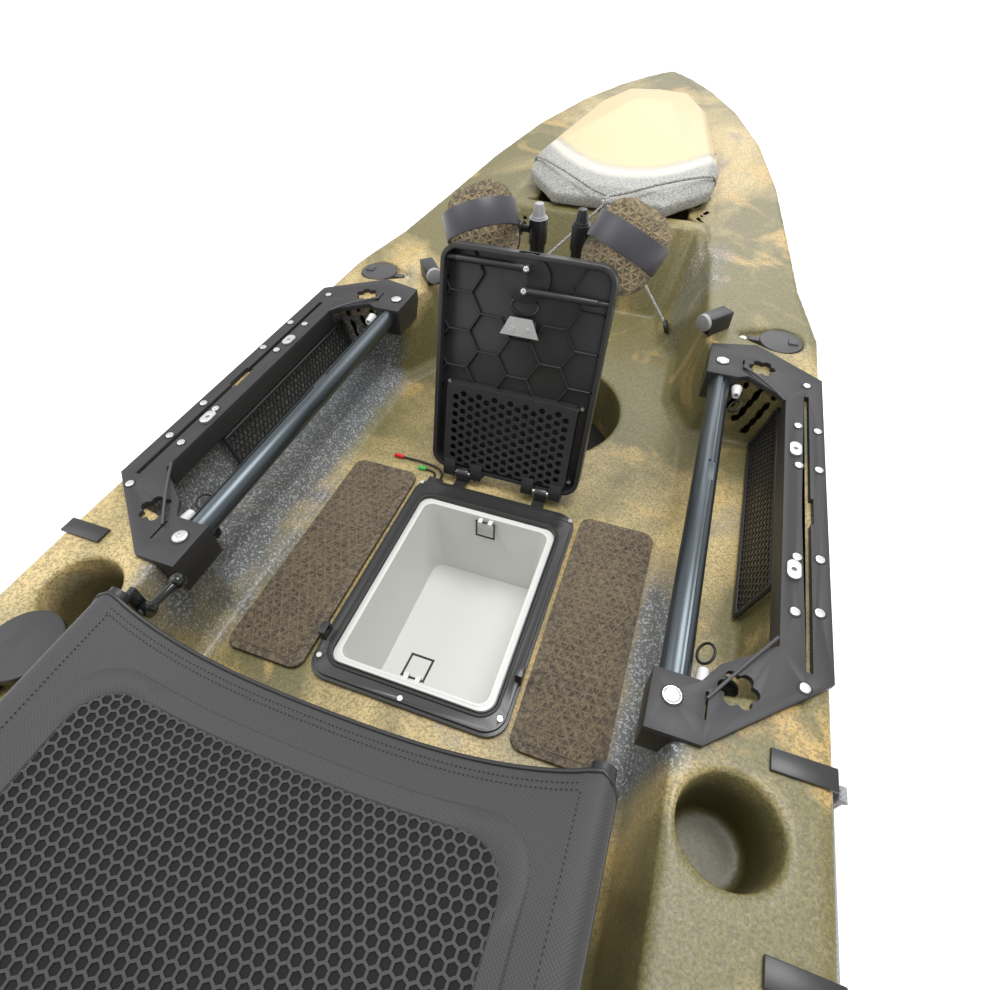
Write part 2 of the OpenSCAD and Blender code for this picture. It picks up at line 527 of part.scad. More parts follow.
// ---- seat ----
tube_r = 11;
seat_y0 = -318;
seat_y1 = -742;
seat_x = seat_w / 2;
module seat_frame() color("silver") {
    both() {
        rod([seat_x, seat_y0 + 6, seat_z], [seat_x, seat_y1 - 14, seat_z], tube_r);
        for (y = [seat_y0 - 40, seat_y1 + 40]) rod([seat_x, y, floor_z + gap], [seat_x, y, seat_z], 9);
        difference() {
            translate([seat_x - 6, seat_y1 - 14, seat_z]) cube([12, 24, 38]);
            rod(back_axis + [200, 0, 0], back_axis + [300, 0, 0], 5.06);
        }
    }
    translate([-seat_x + 3, seat_y0 + 2, seat_z - 36]) cube([6, 14, 36]);
    for (y = [seat_y0 - 40, seat_y1 + 40]) rod([-seat_x, y, floor_z + 26], [seat_x, y, floor_z + 26], 8);
    rod([-seat_x, seat_y1 - 2, seat_z - 1], [seat_x, seat_y1 - 2, seat_z - 1], 8);
}
module sling(width, sag, thick, length) linear_extrude(length) {
    radius = (pow(width / 2, 2) + pow(sag, 2)) / (2 * sag);
    intersection() {
        translate([0, radius - sag]) difference() {
            circle(r = radius, $fn = 200);
            circle(r = radius - thick, $fn = 200);
        }
        translate([-width / 2, -sag - 1]) square([width, sag + 2]);
    }
}
module seat_sling() color([0.2, 0.2, 0.2]) translate([0, seat_y0, seat_z + 6]) rotate([90, 0, 0])
    sling(seat_w - 2 * tube_r - 2, 30, 6, seat_y0 - seat_y1 - 16);
back_axis = [0, seat_y1 - 2, seat_z + 24];
module back_rest_pose() translate(back_axis) rotate([back_lean, 0, 0]) children();
module backrest_frame() color("silver") back_rest_pose() {
    both() {
        rod([seat_x - 24, 0, -6], [seat_x - 24, 0, 440], tube_r);
        rod([seat_x - 24, 0, 0], [seat_x + 6, 0, 0], 5);
    }
    rod([-seat_x + 24, 0, 440], [seat_x - 24, 0, 440], tube_r);
}
module backrest_sling() color([0.2, 0.2, 0.2]) back_rest_pose() translate([0, 4, 30])
    mirror([0, 1, 0]) sling(seat_w - 48 - 2 * tube_r - 2, 30, 6, 396);
lever_axis = [-seat_x + 10, seat_y0 + 9, seat_z - 28];
module seat_lever() color([0.15, 0.15, 0.15]) {
    rod(lever_axis, lever_axis + [10, 0, 0], 8);
    rod(lever_axis + [5, 0, 0], lever_axis + [5, 38, -6], 4.5);
    translate(lever_axis + [5, 42, -6.5]) sphere(r = 9, $fn = draw_fn);
}

// ---- steering ----
steer = [-360, -424];
module steering_handle() color([0.08, 0.08, 0.1]) {
    translate([steer[0], steer[1], gunwale_z + gap]) cylinder(h = 24, r = 12, $fn = draw_fn);
    translate([0, 0, gunwale_z + 16]) linear_extrude(10) {
        translate([-347, -380]) circle(r = 41, $fn = 64);
        translate(steer) circle(r = 20, $fn = draw_fn);
    }
}
rudder_y = -1809;
rudder_z = 436;
blade_y = -bow_y + 15;
module rudder_bracket() color([0.15, 0.15, 0.15]) for (z = [262, 318]) difference() {
    union() {
        translate([-30, rudder_y + 6, z]) cube([60, stern_y - rudder_y - 6, 20]);
        translate([0, rudder_y, z]) cylinder(h = 20, r = 14, $fn = draw_fn);
    }
    translate([0, rudder_y, 0]) cylinder(h = 600, r = 6.06, $fn = draw_fn);
}
module rudder_head() color([0.2, 0.2, 0.2]) {
    translate([0, rudder_y, 250]) cylinder(h = 100, r = 6, $fn = draw_fn);
    translate([0, rudder_y, 338.6]) cylinder(h = 14, r = 16, $fn = draw_fn);
    for (s = [-1, 1]) difference() {
        translate([s * 10 - 3, blade_y - 15, 350]) cube([6, 48, rudder_z - 334]);
        translate([-30, blade_y, rudder_z]) rotate([0, 90, 0]) cylinder(h = 60, r = 5.06, $fn = draw_fn);
    }
}
module rudder_blade() color([0.12, 0.12, 0.12]) {
    translate([-15, blade_y, rudder_z]) rotate([0, 90, 0]) cylinder(h = 30, r = 5, $fn = draw_fn);
    translate([-5, blade_y, rudder_z]) rotate([90, 0, 90]) linear_extrude(10) {
        circle(r = 15, $fn = draw_fn);
        polygon([[0, 15], [460, 12], [490, -10], [470, -40], [180, -64], [60, -56], [0, -14]]);
    }
}

// ---- bow hatch and cords ----
COVER = [[128, 884], [215, 985], [222, 1080], [150, 1440], [90, 1560], [0, 1575]];
cover_z = 394;
function cover_point(p, side, grow, lift) =
    [side * p[0] * grow, 1220 + (p[1] - 1220) * grow, cover_z + lift + (p[1] - 884) * 0.075];
function cover_ring(grow, lift) = let (last = len(COVER) - 1)
    concat([for (i = [0:last]) cover_point(COVER[i], -1, grow, lift)],
    [for (i = [last - 1:-1:0]) cover_point(COVER[i], 1, grow, lift)]);
module bow_hatch() color([0.8, 0.76, 0.66]) difference() {
    loft([cover_ring(1, 0), cover_ring(1, 26), cover_ring(0.9, 42), cover_ring(0.5, 50)]);
    loft([cover_ring(0.96, -1), cover_ring(0.96, 20), cover_ring(0.86, 36), cover_ring(0.46, 43)]);
}
cord_d = 6;
knot = [0, 866, 432];
corner_eye = [214, 1030, 438];
wall_eye = [199, 690, 248];
module bow_hatch_cord() color("silver") both() {
    tube([knot + [4, 6, 0], [40, 880, 440], [110, 925, 452], [170, 980, 452], [206, 1018, 446], corner_eye,
        corner_eye + [6, 8, -16]], cord_d);
}
module tie_down_cord() color("silver") {
    both() rod(knot + [1, -10, -10], wall_eye + [-4, 0, 1], cord_d / 2);
    both() translate(wall_eye + [-8, 0, 0]) rotate([0, 68, 0]) cylinder(h = 8, r = 15, $fn = draw_fn);
    rod(knot + [-11, -9, -9], knot + [11, -9, -9], 7);
}
lead_d = 4;
RED_ROUTE = [[-108, 134, 209], [-108, 141, 209], [-110, 148, 209], [-114, 154, 208], [-120, 159, 208],
    [-128, 162, 208], [-138, 164, 208], [-149, 165, 208], [-160, 166, 208], [-171, 166, 208],
    [-182, 166, 208], [-192, 166, 208]];
GREEN_ROUTE = [[-120, 134, 209], [-120, 140, 209], [-122, 145, 209], [-127, 149, 208], [-134, 151, 208],
    [-142, 151, 208]];
module lead_connectors() color("crimson") {
    rod([-192, 166, 208.6], [-210, 166, 208.6], 3.6);
    color("green") rod([-142, 151, 208.6], [-156, 151, 208.6], 3.6);
}

hull_bottom();
hull_stern_deck();
hull_mid_deck();
hull_bow_deck();
both() side_plate();  // side_plates
rail_brackets();
both() gear_rail();  // gear_rails
deck_screws();
line_anchors();
side_nets();
rod_straps();
bungee_eyes();
tube_plugs();
line_handle_holders();
mirror([1, 0, 0]) line_handle();  // line_handle_left
line_handle();  // line_handle_right
mirror([1, 0, 0]) deck_cap();  // deck_cap_left
deck_cap();  // deck_cap_right
carry_handle_mounts();
mirror([1, 0, 0]) carry_handle();  // carry_handle_left
carry_handle();  // carry_handle_right
hatch_frame();
hatch_seal();
hinge_pins();
hatch_lid();
lid_pocket();
line_cutter();
lid_screws();
latch_knob();
latch_rod(-1);  // latch_rod_left
latch_rod(1);  // latch_rod_right
hatch_liner();
bail_front();
bail_rear();
deck_pads();
drive_base();
drive_housing();
mirror([1, 0, 0]) crank_arm();  // crank_arm_left
crank_arm();  // crank_arm_right
mirror([1, 0, 0]) pedal();  // pedal_left
pedal();  // pedal_right
mirror([1, 0, 0]) pedal_strap();  // pedal_strap_left
pedal_strap();  // pedal_strap_right
fin(fin_mount[0]);  // fin_front
fin(fin_mount[1]);  // fin_rear
seat_frame();
seat_sling();
backrest_frame();
backrest_sling();
seat_lever();
steering_handle();
rudder_bracket();
rudder_head();
rudder_blade();
bow_hatch();
bow_hatch_cord();
tie_down_cord();
color("black") tube(RED_ROUTE, lead_d);  // power_lead_red
color("black") tube(GREEN_ROUTE, lead_d);  // power_lead_green
lead_connectors();
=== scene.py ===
import json
from math import atan2, copysign, cos, exp, hypot, pi, radians, sin, sqrt

import bmesh
import bpy
import numpy as np
from bpy.props import FloatProperty, FloatVectorProperty, PointerProperty
from mathutils import Matrix, Vector

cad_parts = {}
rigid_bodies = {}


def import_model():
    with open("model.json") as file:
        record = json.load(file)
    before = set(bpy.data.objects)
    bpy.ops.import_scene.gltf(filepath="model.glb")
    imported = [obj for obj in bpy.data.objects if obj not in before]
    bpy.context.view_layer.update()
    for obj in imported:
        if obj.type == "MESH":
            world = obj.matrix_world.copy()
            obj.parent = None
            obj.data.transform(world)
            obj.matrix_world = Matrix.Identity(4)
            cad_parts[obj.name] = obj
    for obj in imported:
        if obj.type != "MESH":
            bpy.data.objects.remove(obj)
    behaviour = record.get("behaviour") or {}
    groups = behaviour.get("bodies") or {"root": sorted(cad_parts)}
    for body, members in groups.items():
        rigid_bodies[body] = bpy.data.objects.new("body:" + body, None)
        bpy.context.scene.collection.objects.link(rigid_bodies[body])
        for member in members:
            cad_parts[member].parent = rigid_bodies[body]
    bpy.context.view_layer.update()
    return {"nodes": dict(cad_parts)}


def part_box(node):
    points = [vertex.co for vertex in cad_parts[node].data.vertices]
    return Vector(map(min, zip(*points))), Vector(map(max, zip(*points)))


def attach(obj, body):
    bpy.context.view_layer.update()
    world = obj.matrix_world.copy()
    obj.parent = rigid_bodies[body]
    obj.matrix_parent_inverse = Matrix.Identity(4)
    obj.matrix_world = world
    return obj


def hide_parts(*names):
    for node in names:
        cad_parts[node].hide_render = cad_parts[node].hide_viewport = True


bl_info = {
    "name": "Pedal fishing kayak",
    "version": (1, 0, 0),
    "blender": (4, 5, 0),
    "location": "3D View > Sidebar > Kayak",
    "description": "Builds a pedal fishing kayak piece by piece round its CAD frame",
    "category": "Object",
}

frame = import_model()
NODES = frame["nodes"]


# ---------------------------------------------------------------- shader maths
class Field:
    """A value or vector that runs over a surface, with the usual arithmetic."""

    def __init__(self, finish, socket):
        self.finish, self.socket = finish, socket

    def maths(self, operation, *values):
        return self.finish.add("Math", {"operation": operation}, *values)

    def __add__(self, other):
        return self.maths("ADD", self, other)

    __radd__ = __add__

    def __sub__(self, other):
        return self.maths("SUBTRACT", self, other)

    def __rsub__(self, other):
        return self.maths("SUBTRACT", other, self)

    def __mul__(self, other):
        return self.maths("MULTIPLY", self, other)

    __rmul__ = __mul__

    def __truediv__(self, other):
        return self.maths("DIVIDE", self, other)

    def __pow__(self, other):
        return self.maths("POWER", self, other)

    def __abs__(self):
        return self.maths("ABSOLUTE", self)

    def above(self, level, soft):
        """0 below the level and 1 above it, over a soft edge."""
        return self.maths("MULTIPLY_ADD", self - (level - soft / 2), 1 / soft, 0.0).clamped()

    def clamped(self):
        return self.finish.add("Clamp", {}, self, 0.0, 1.0)

    def most(self, other):
        return self.maths("MAXIMUM", self, other)

    def sine(self):
        return self.maths("SINE", self)


class Finish:
    """One material: a Principled surface and the nodes that feed it."""

    def __init__(self, name, base=(0.5, 0.5, 0.5), rough=0.5, metal=0.0, **fixed):
        self.material = bpy.data.materials.new(name)
        self.material.use_nodes = True
        self.tree = self.material.node_tree
        self.shader = self.tree.nodes["Principled BSDF"]
        self.shader.inputs["Base Color"].default_value = (*base, 1.0)
        self.shader.inputs["Roughness"].default_value = rough
        self.shader.inputs["Metallic"].default_value = metal
        for socket, value in fixed.items():
            self.shader.inputs[socket.replace("_", " ")].default_value = value
        self.material.diffuse_color = (*base, 1.0)
        self.coords = self.add("TexCoord", {}, out="Object")

    def add(self, kind, settings, *values, out=0, **named):
        """Any node: its type, its settings, then the values or links of its sockets."""
        node = self.tree.nodes.new("ShaderNode" + kind)
        for key, value in settings.items():
            if key == "stops":
                ramp = node.color_ramp
                while len(ramp.elements) < len(value):
                    ramp.elements.new(1.0)
                for element, (place, colour) in zip(ramp.elements, value):
                    element.position, element.color = place, (*colour, 1.0)
            else:
                setattr(node, key, value)
        sockets = [s for s in node.inputs if s.enabled]
        by_name = [(node.inputs[key.replace("_", " ")], value) for key, value in named.items()]
        for socket, value in [*zip(sockets, values), *by_name]:
            if value is None:
                continue
            if isinstance(value, Field):
                self.tree.links.new(value.socket, socket)
            else:
                if isinstance(value, tuple) and socket.type == "RGBA" and len(value) == 3:
                    value = (*value, 1.0)
                socket.default_value = value
        shown = [s for s in node.outputs if s.enabled]
        return Field(self, shown[out] if isinstance(out, int) else node.outputs[out])

    def place(self, scale=(1, 1, 1), turn=(0, 0, 0), shift=(0, 0, 0)):
        return self.add("Mapping", {}, self.coords, Location=shift, Rotation=turn, Scale=scale)

    def noise(self, scale, detail=2.0, rough=0.5, bend=0.0, coords=None):
        return self.add("TexNoise", {}, Vector=coords or self.coords, Scale=scale, Detail=detail,
                        Roughness=rough, Distortion=bend)

    def cells(self, scale, coords):
        return self.add("TexVoronoi", {}, Vector=coords, Scale=scale, Randomness=1.0)

    def axis(self, name):
        return self.add("SeparateXYZ", {}, self.coords, out=name)

    def blend(self, share, low, high):
        """A colour that runs from low to high as share goes from 0 to 1."""
        node = self.tree.nodes.new("ShaderNodeMix")
        node.data_type = "RGBA"
        for socket, value in zip((node.inputs[0], node.inputs[6], node.inputs[7]), (share, low, high)):
            if isinstance(value, Field):
                self.tree.links.new(value.socket, socket)
            else:
                socket.default_value = (*value, 1.0) if isinstance(value, tuple) and len(value) == 3 else value
        return Field(self, node.outputs[2])

    def feed(self, **fields):
        for socket, field in fields.items():
            self.tree.links.new(field.socket, self.shader.inputs[socket.replace("_", " ")])
        return self

    def bump(self, height, depth, strength=1.0):
        relief = self.add("Bump", {}, Height=height, Strength=strength, Distance=depth, out=0)
        return self.feed(Normal=relief)


MADE = {}


def finish_of(name):
    """The material of that name, made the first time that it is asked for."""
    if name not in MADE:
        maker, *values = FINISHES[name]
        MADE[name] = maker(name, *values)
    return MADE[name].material


def hull_shell(name, cover=False):
    f = Finish(name, (0.42, 0.37, 0.22), 0.36, Specular_IOR_Level=0.45)
    x, y, z = f.axis("X"), f.axis("Y"), f.axis("Z")
    drift = f.noise(2.1, 4.0, 0.6, 0.8)
    patch = f.noise(4.6, 3.0, 0.6, 1.2, coords=f.place(shift=(3.1, 1.7, 0.4)))
    sand, olive = (0.53, 0.405, 0.180), (0.155, 0.136, 0.050)
    ochre, slate = (0.54, 0.36, 0.125), (0.078, 0.092, 0.110)
    colour = f.blend(drift.above(0.47, 0.16), sand, olive)
    colour = f.blend(patch.above(0.60, 0.10) * 0.75, colour, ochre)
    # slate is sprayed on in the side pockets, on the benches and by the port cup
    side = abs(x)
    pocket = side.above(0.285, 0.05) * (1 - side.above(0.43, 0.03)) * (1 - z.above(0.345, 0.03)) * \
        y.above(-0.26, 0.10) * (1 - (y + (x * 0.9)).above(0.22, 0.25))
    bench = side.above(0.262, 0.03) * (1 - side.above(0.33, 0.03)) * y.above(-0.30, 0.10) * (1 - y.above(0.10, 0.14))
    bow = side.above(0.18, 0.06) * y.above(0.62, 0.1) * (1 - y.above(0.86, 0.1)) * (1 - side.above(0.30, 0.06))
    sprayed = (pocket.most(bench * 0.8).most(bow * 0.55) + (patch - 0.5) * 1.3).above(0.62, 0.5)
    slate_share = sprayed.most((1 - drift).above(0.645, 0.05) * 0.8)
    colour = f.blend(slate_share * 0.92, colour, slate)
    # painted shade: the cups and the scoops beside the seat are darker inside, where shade falls
    cup = ((side - 0.370) ** 2 + (y + 0.300) ** 2) ** 0.5
    cup_shade = (1 - cup.above(0.050, 0.014)) * (1 - z.above(0.335, 0.03))
    stern = (1 - y.above(-0.34, 0.12)) * (1 - z.above(0.325, 0.04)) * side.above(0.27, 0.04)
    # speckle: dark grains all over, white grains on the slate
    grain = f.noise(330.0, 2.0, 0.7)
    coarse = f.noise(150.0, 3.0, 0.75)
    dark = (grain.above(0.535, 0.08) * 0.72).most(coarse.above(0.585, 0.06) * 0.62)
    colour = f.blend(dark * (1 - slate_share * 0.5) * 0.80, colour, (0.075, 0.066, 0.030))
    light = f.noise(260.0, 2.0, 0.8, coords=f.place(shift=(1.3, 0.2, 5.1)))
    colour = f.blend(light.above(0.57, 0.06) * (slate_share * 0.34 + 0.06), colour, (0.72, 0.74, 0.74))
    # painted shade: darker inside the cups and low in the scoops beside the seat
    colour = f.blend(cup_shade.most(stern * 0.4) * 0.85, colour, (0.060, 0.052, 0.016))
    if cover:
        band = abs((y - 0.995) - side * side * 3.2)
        centre = (y - side * side * 3.4).above(1.025, 0.03)
        flecked = f.blend(light.above(0.52, 0.12), (0.34, 0.34, 0.31), (0.17, 0.17, 0.16))
        colour = f.blend(centre, flecked, (0.56, 0.44, 0.25))
        colour = f.blend((1 - band.above(0.022, 0.03)) * 0.8, colour, (0.60, 0.57, 0.49))
    f.feed(Base_Color=colour, Roughness=0.30 + grain * 0.16 + drift * 0.06)
    return f.bump(f.noise(55.0, 3.0, 0.5) * 0.8 + grain * 0.25, 0.0007, 0.5)


def moulded(name, base, rough=0.45, grain=0.00008, scale=900.0, mottled=0.10):
    f = Finish(name, base, rough)
    fine, soft = f.noise(scale, 3.0, 0.6), f.noise(14.0, 3.0, 0.5)
    pale = tuple(min(1.0, c * 1.35 + 0.006) for c in base)
    f.feed(Base_Color=f.blend(fine * mottled * 2 + soft * mottled, base, pale),
           Roughness=rough - 0.05 + soft * 0.08 + fine * 0.06)
    return f.bump(fine, grain, 0.6)


def metal(name, base, rough=0.32, brushed=(1, 1, 1), strength=0.00004):
    f = Finish(name, base, rough, 1.0)
    lines = f.noise(700.0, 3.0, 0.6, coords=f.place(scale=brushed))
    f.feed(Roughness=rough - 0.06 + lines * 0.14,
           Base_Color=f.blend(lines, tuple(c * 0.85 for c in base), tuple(min(1, c * 1.12) for c in base)))
    return f.bump(lines, strength, 0.4)


def anodised(name):
    f = Finish(name, (0.08, 0.095, 0.105), 0.34, 0.85)
    lines = f.noise(900.0, 2.0, 0.6, coords=f.place(scale=(1, 0.02, 1)))
    f.feed(Base_Color=f.blend(lines, (0.068, 0.080, 0.090), (0.10, 0.118, 0.130)), Roughness=0.26 + lines * 0.16)
    return f.bump(lines, 0.00003, 0.4)


def foam(name, dark, mid, light):
    f = Finish(name, mid, 0.8)
    blotch, streak = f.noise(9.0, 4.0, 0.65, 0.8), f.noise(150.0, 4.0, 0.75, 0.6)
    grain = f.noise(700.0, 2.0, 0.6)
    ridge = f.add("Attribute", {"attribute_name": "ridge"}, out="Fac")
    colour = f.blend(blotch.above(0.50, 0.20) * 0.8, mid, dark)
    colour = f.blend(streak.above(0.54, 0.10) * 0.7, colour, light)
    colour = f.blend((1 - streak).above(0.55, 0.08) * 0.55, colour, tuple(c * 0.45 for c in dark))
    # painted highlight: the ridge tops of the pattern lightened
    colour = f.blend(ridge.above(0.72, 0.22) * 0.38, colour, tuple(c * 1.25 for c in light))
    f.feed(Base_Color=colour, Roughness=0.72 + grain * 0.16)
    return f.bump(grain, 0.00015, 0.6)


def woven(name, base, pitch=620.0):
    f = Finish(name, base, 0.6, Sheen_Weight=0.1)
    x, y = f.axis("X"), f.axis("Y")
    weave = ((x * pitch * 6.283 / 2).sine() * (y * pitch * 6.283 / 2).sine()) * 0.5 + 0.5
    grain = f.noise(900.0, 2.0, 0.6)
    low, high = tuple(c * 0.55 for c in base), tuple(min(1, c * 1.5) for c in base)
    f.feed(Base_Color=f.blend(weave * 0.5 + grain * 0.3, low, high), Roughness=0.5 + grain * 0.2)
    return f.bump(weave + grain * 0.3, 0.0003, 0.7)


def braid(name, base, fleck):
    f = Finish(name, base, 0.7, Sheen_Weight=0.1)
    strands = f.cells(520.0, f.place(turn=(0.6, 0.5, 0.8)))
    f.feed(Base_Color=f.blend(strands.above(0.42, 0.2), base, fleck), Roughness=0.55 + strands * 0.3)
    return f.bump(1 - strands, 0.0003, 0.8)


def paper(name):
    f = Finish(name, looks().floor_colour, 0.75, Emission_Strength=0.25,
               Emission_Color=(1.0, 1.0, 1.0, 1.0))
    return f.feed(Roughness=0.7 + f.noise(3.0) * 0.1)


# each finish: what makes it, then its values
FINISHES = {
    "hull_shell": (hull_shell,),
    "cover_shell": (hull_shell, True),
    "plate_charcoal": (moulded, (0.021, 0.021, 0.023), 0.50, 0.00006),
    "satin_black": (moulded, (0.016, 0.016, 0.017), 0.36, 0.00005),
    "hatch_plastic": (moulded, (0.022, 0.022, 0.023), 0.30, 0.00004, 700.0),
    "gloss_black": (moulded, (0.006, 0.008, 0.007), 0.10, 0.00002),
    "grey_plastic": (moulded, (0.30, 0.30, 0.31), 0.42),
    "pale_plastic": (moulded, (0.58, 0.58, 0.58), 0.38),
    "liner_plastic": (moulded, (0.60, 0.60, 0.575), 0.36, 0.00005, 500.0, 0.05),
    "soft_rubber": (moulded, (0.05, 0.048, 0.052), 0.48, 0.00006),
    "strap_rubber": (moulded, (0.042, 0.040, 0.047), 0.40, 0.00003, 400.0, 0.06),
    "seal_rubber": (moulded, (0.008, 0.008, 0.008), 0.55),
    "fin_rubber": (moulded, (0.03, 0.034, 0.038), 0.45),
    "bright_steel": (metal, (0.78, 0.77, 0.75), 0.26),
    "cast_alloy": (metal, (0.66, 0.66, 0.66), 0.48),
    "seat_alloy": (metal, (0.07, 0.07, 0.075), 0.40, (1, 0.05, 1)),
    "black_wire": (moulded, (0.012, 0.012, 0.012), 0.30),
    "rail_anodised": (anodised,),
    "deck_foam": (foam, (0.052, 0.041, 0.032), (0.100, 0.077, 0.050), (0.18, 0.14, 0.085)),
    "pedal_foam": (foam, (0.085, 0.078, 0.055), (0.19, 0.155, 0.095), (0.36, 0.27, 0.15)),
    "spacer_mesh": (moulded, (0.026, 0.026, 0.028), 0.55, 0.0003, 1400.0),
    "woven_vinyl": (woven, (0.030, 0.030, 0.032)),
    # the sling under the net: its own dark colour, made near black as painted shade in the net's holes
    "sling_backing": (moulded, (0.003, 0.003, 0.003), 0.9),
    "steering_black": (moulded, (0.012, 0.012, 0.012), 0.42, 0.0001),
    "grey_webbing": (woven, (0.30, 0.30, 0.31), 400.0),
    "shock_cord": (braid, (0.52, 0.51, 0.48), (0.14, 0.14, 0.14)),
    "stitch_thread": (moulded, (0.008, 0.008, 0.008), 0.7),
    "lead_jacket": (moulded, (0.01, 0.01, 0.01), 0.4),
    "lead_red": (moulded, (0.55, 0.012, 0.012), 0.3),
    "lead_green": (moulded, (0.02, 0.42, 0.06), 0.3),
    "studio_floor": (paper,),
}


# ---------------------------------------------------------------- shaping helpers
def set_mode(kind):
    bpy.ops.object.mode_set(mode=kind)


def rest_all():
    """Nothing is selected, in object mode."""
    if bpy.context.object and bpy.context.object.mode != "OBJECT":
        set_mode("OBJECT")
    bpy.ops.object.select_all(action="DESELECT")


def alone(obj):
    """Only this object is selected and active, in object mode."""
    rest_all()
    obj.hide_set(False)
    obj.select_set(True)
    bpy.context.view_layer.objects.active = obj


def apply_place(location=True, rotation=True):
    bpy.ops.object.transform_apply(location=location, rotation=rotation, scale=True)


def new_object(name, data):
    obj = bpy.data.objects.new(name, data)
    bpy.context.scene.collection.objects.link(obj)
    return obj


def modifier(obj, kind, **settings):
    alone(obj)
    m = obj.modifiers.new(kind.title(), kind)
    for key, value in settings.items():
        setattr(m, key, value)
    bpy.ops.object.modifier_apply(modifier=m.name)


def bevelled(obj, width, segments=2, angle=32.0, **settings):
    modifier(obj, "BEVEL", width=width, segments=segments, limit_method="ANGLE", angle_limit=radians(angle),
             **settings)


def join(objs):
    rest_all()
    for o in objs:
        o.select_set(True)
    bpy.context.view_layer.objects.active = objs[0]
    bpy.ops.object.join()
    return objs[0]


def from_mesh(name, verts, faces):
    mesh = bpy.data.meshes.new(name)
    mesh.from_pydata([tuple(v) for v in verts], [], faces)
    mesh.validate()
    return new_object(name, mesh)


def outward(obj):
    alone(obj)
    set_mode("EDIT")
    bpy.ops.mesh.select_all(action="SELECT")
    bpy.ops.mesh.remove_doubles(threshold=0.00002)
    bpy.ops.mesh.normals_make_consistent(inside=False)
    set_mode("OBJECT")


def done(obj, name, body, finish, slot, replaces=(), smooth=35.0):
    """Names a finished piece, bakes its place into its mesh, shades it and ties it to its body."""
    alone(obj)
    apply_place()
    obj.name = obj.data.name = name
    obj.data.materials.clear()
    for key in finish if isinstance(finish, (list, tuple)) else [finish]:
        obj.data.materials.append(finish_of(key))
    if smooth:
        bpy.ops.object.shade_smooth_by_angle(angle=radians(smooth))
    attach(obj, body)
    if replaces:
        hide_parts(*replaces)
    rest_all()
    return obj


def cad_copy(node, flatten=1.0):
    """A copy of a CAD node with its triangles merged back into flat faces."""
    obj = NODES[node].copy()
    obj.data = NODES[node].data.copy()
    obj.parent = None
    for key in list(obj.keys()):
        del obj[key]
    bpy.context.scene.collection.objects.link(obj)
    obj.hide_render = obj.hide_viewport = False
    alone(obj)
    set_mode("EDIT")
    bpy.ops.mesh.select_all(action="SELECT")
    bpy.ops.mesh.remove_doubles(threshold=0.00002)
    if flatten:
        bpy.ops.mesh.dissolve_limited(angle_limit=radians(flatten))
    set_mode("OBJECT")
    if obj.data.has_custom_normals:
        bpy.ops.mesh.customdata_custom_splitnormals_clear()
    return obj


def softened(node, body, finish, slot, width, segments=2, name=None, angle=32.0):
    """Stands for a CAD node with its edges broken, as a mould leaves them."""
    obj = cad_copy(node)
    bevelled(obj, width, segments, angle, miter_outer="MITER_ARC")
    return done(obj, name or node + "_moulded", body, finish, slot, [node])


def soft_skin(obj, *call):
    """Finishes a moulded skin with its normals weighted by the size of its faces."""
    done(obj, *call, smooth=0)
    alone(obj)
    bpy.ops.object.shade_smooth()
    modifier(obj, "WEIGHTED_NORMAL", mode="FACE_AREA", weight=50)


def paint(node, finish):
    """Gives a CAD node that stays its own finish."""
    mesh = NODES[node].data
    mesh.materials.clear()
    mesh.materials.append(finish_of(finish))


def tube(name, points, radius, closed=False, sides=6):
    """A round wire or cord along points, as a mesh."""
    curve = bpy.data.curves.new(name, "CURVE")
    curve.dimensions = "3D"
    spline = curve.splines.new("POLY")
    spline.points.add(len(points) - 1)
    for p, q in zip(spline.points, points):
        p.co = (*q, 1.0)
    spline.use_cyclic_u = closed
    curve.bevel_depth, curve.bevel_resolution, curve.use_fill_caps = radius, sides // 2, True
    alone(new_object(name, curve))
    bpy.ops.object.convert(target="MESH")
    return bpy.context.object


def smooth_line(points, steps=6):
    """Extra points on a smooth curve through the given ones."""
    p = [Vector(v) for v in points]
    made = []
    for i in range(len(p) - 1):
        a, b, c, d = p[max(i - 1, 0)], p[i], p[i + 1], p[min(i + 2, len(p) - 1)]
        for k in range(steps):
            t = k / steps
            square, cube = 2 * a - 5 * b + 4 * c - d, 3 * b - 3 * c + d - a
            made.append(0.5 * ((2 * b) + (c - a) * t + square * t * t + cube * t ** 3))
    made.append(p[-1])
    return made


def block(size, at, turn=(0, 0, 0), bevel=0.001, segments=2):
    rest_all()
    bpy.ops.mesh.primitive_cube_add(size=1.0, location=at, rotation=turn)
    obj = bpy.context.object
    obj.scale = size
    apply_place(False, False)
    if bevel:
        bevelled(obj, bevel, segments, 30.0)
    return obj


def barrel(radius, depth, at, turn=(0, 0, 0), sides=24, bevel=0.0005):
    rest_all()
    bpy.ops.mesh.primitive_cylinder_add(vertices=sides, radius=radius, depth=depth, location=at, rotation=turn)
    obj = bpy.context.object
    if bevel:
        bevelled(obj, bevel, angle=50.0)
    return obj


# ---------------------------------------------------------------- sizes that a user would change
class KAYAK_PG_looks(bpy.types.PropertyGroup):
    grain: FloatProperty(name="Hull grid", description="Grid of the moulded hull's skin", default=0.0052,
                         unit="LENGTH", subtype="DISTANCE")
    hull_share: FloatProperty(name="Hull faces kept", description="Share of the hull's faces that is kept",
                              default=0.36, subtype="FACTOR")
    hex_pitch: FloatProperty(name="Net pitch", description="Distance between the holes of the side nets",
                             default=0.0105, unit="LENGTH", subtype="DISTANCE")
    lattice: FloatProperty(name="Pad lattice", description="Side of one triangle of the pads' pattern",
                           default=0.0140, unit="LENGTH", subtype="DISTANCE")
    sling_sag: FloatProperty(name="Sling sag", description="How far the middle of the seat sling hangs",
                             default=0.012, unit="LENGTH", subtype="DISTANCE")
    floor_colour: FloatVectorProperty(name="Floor", description="Colour of the studio floor",
                                      default=(0.93, 0.93, 0.93), subtype="COLOR")


def looks():
    return bpy.context.scene.kayak_looks


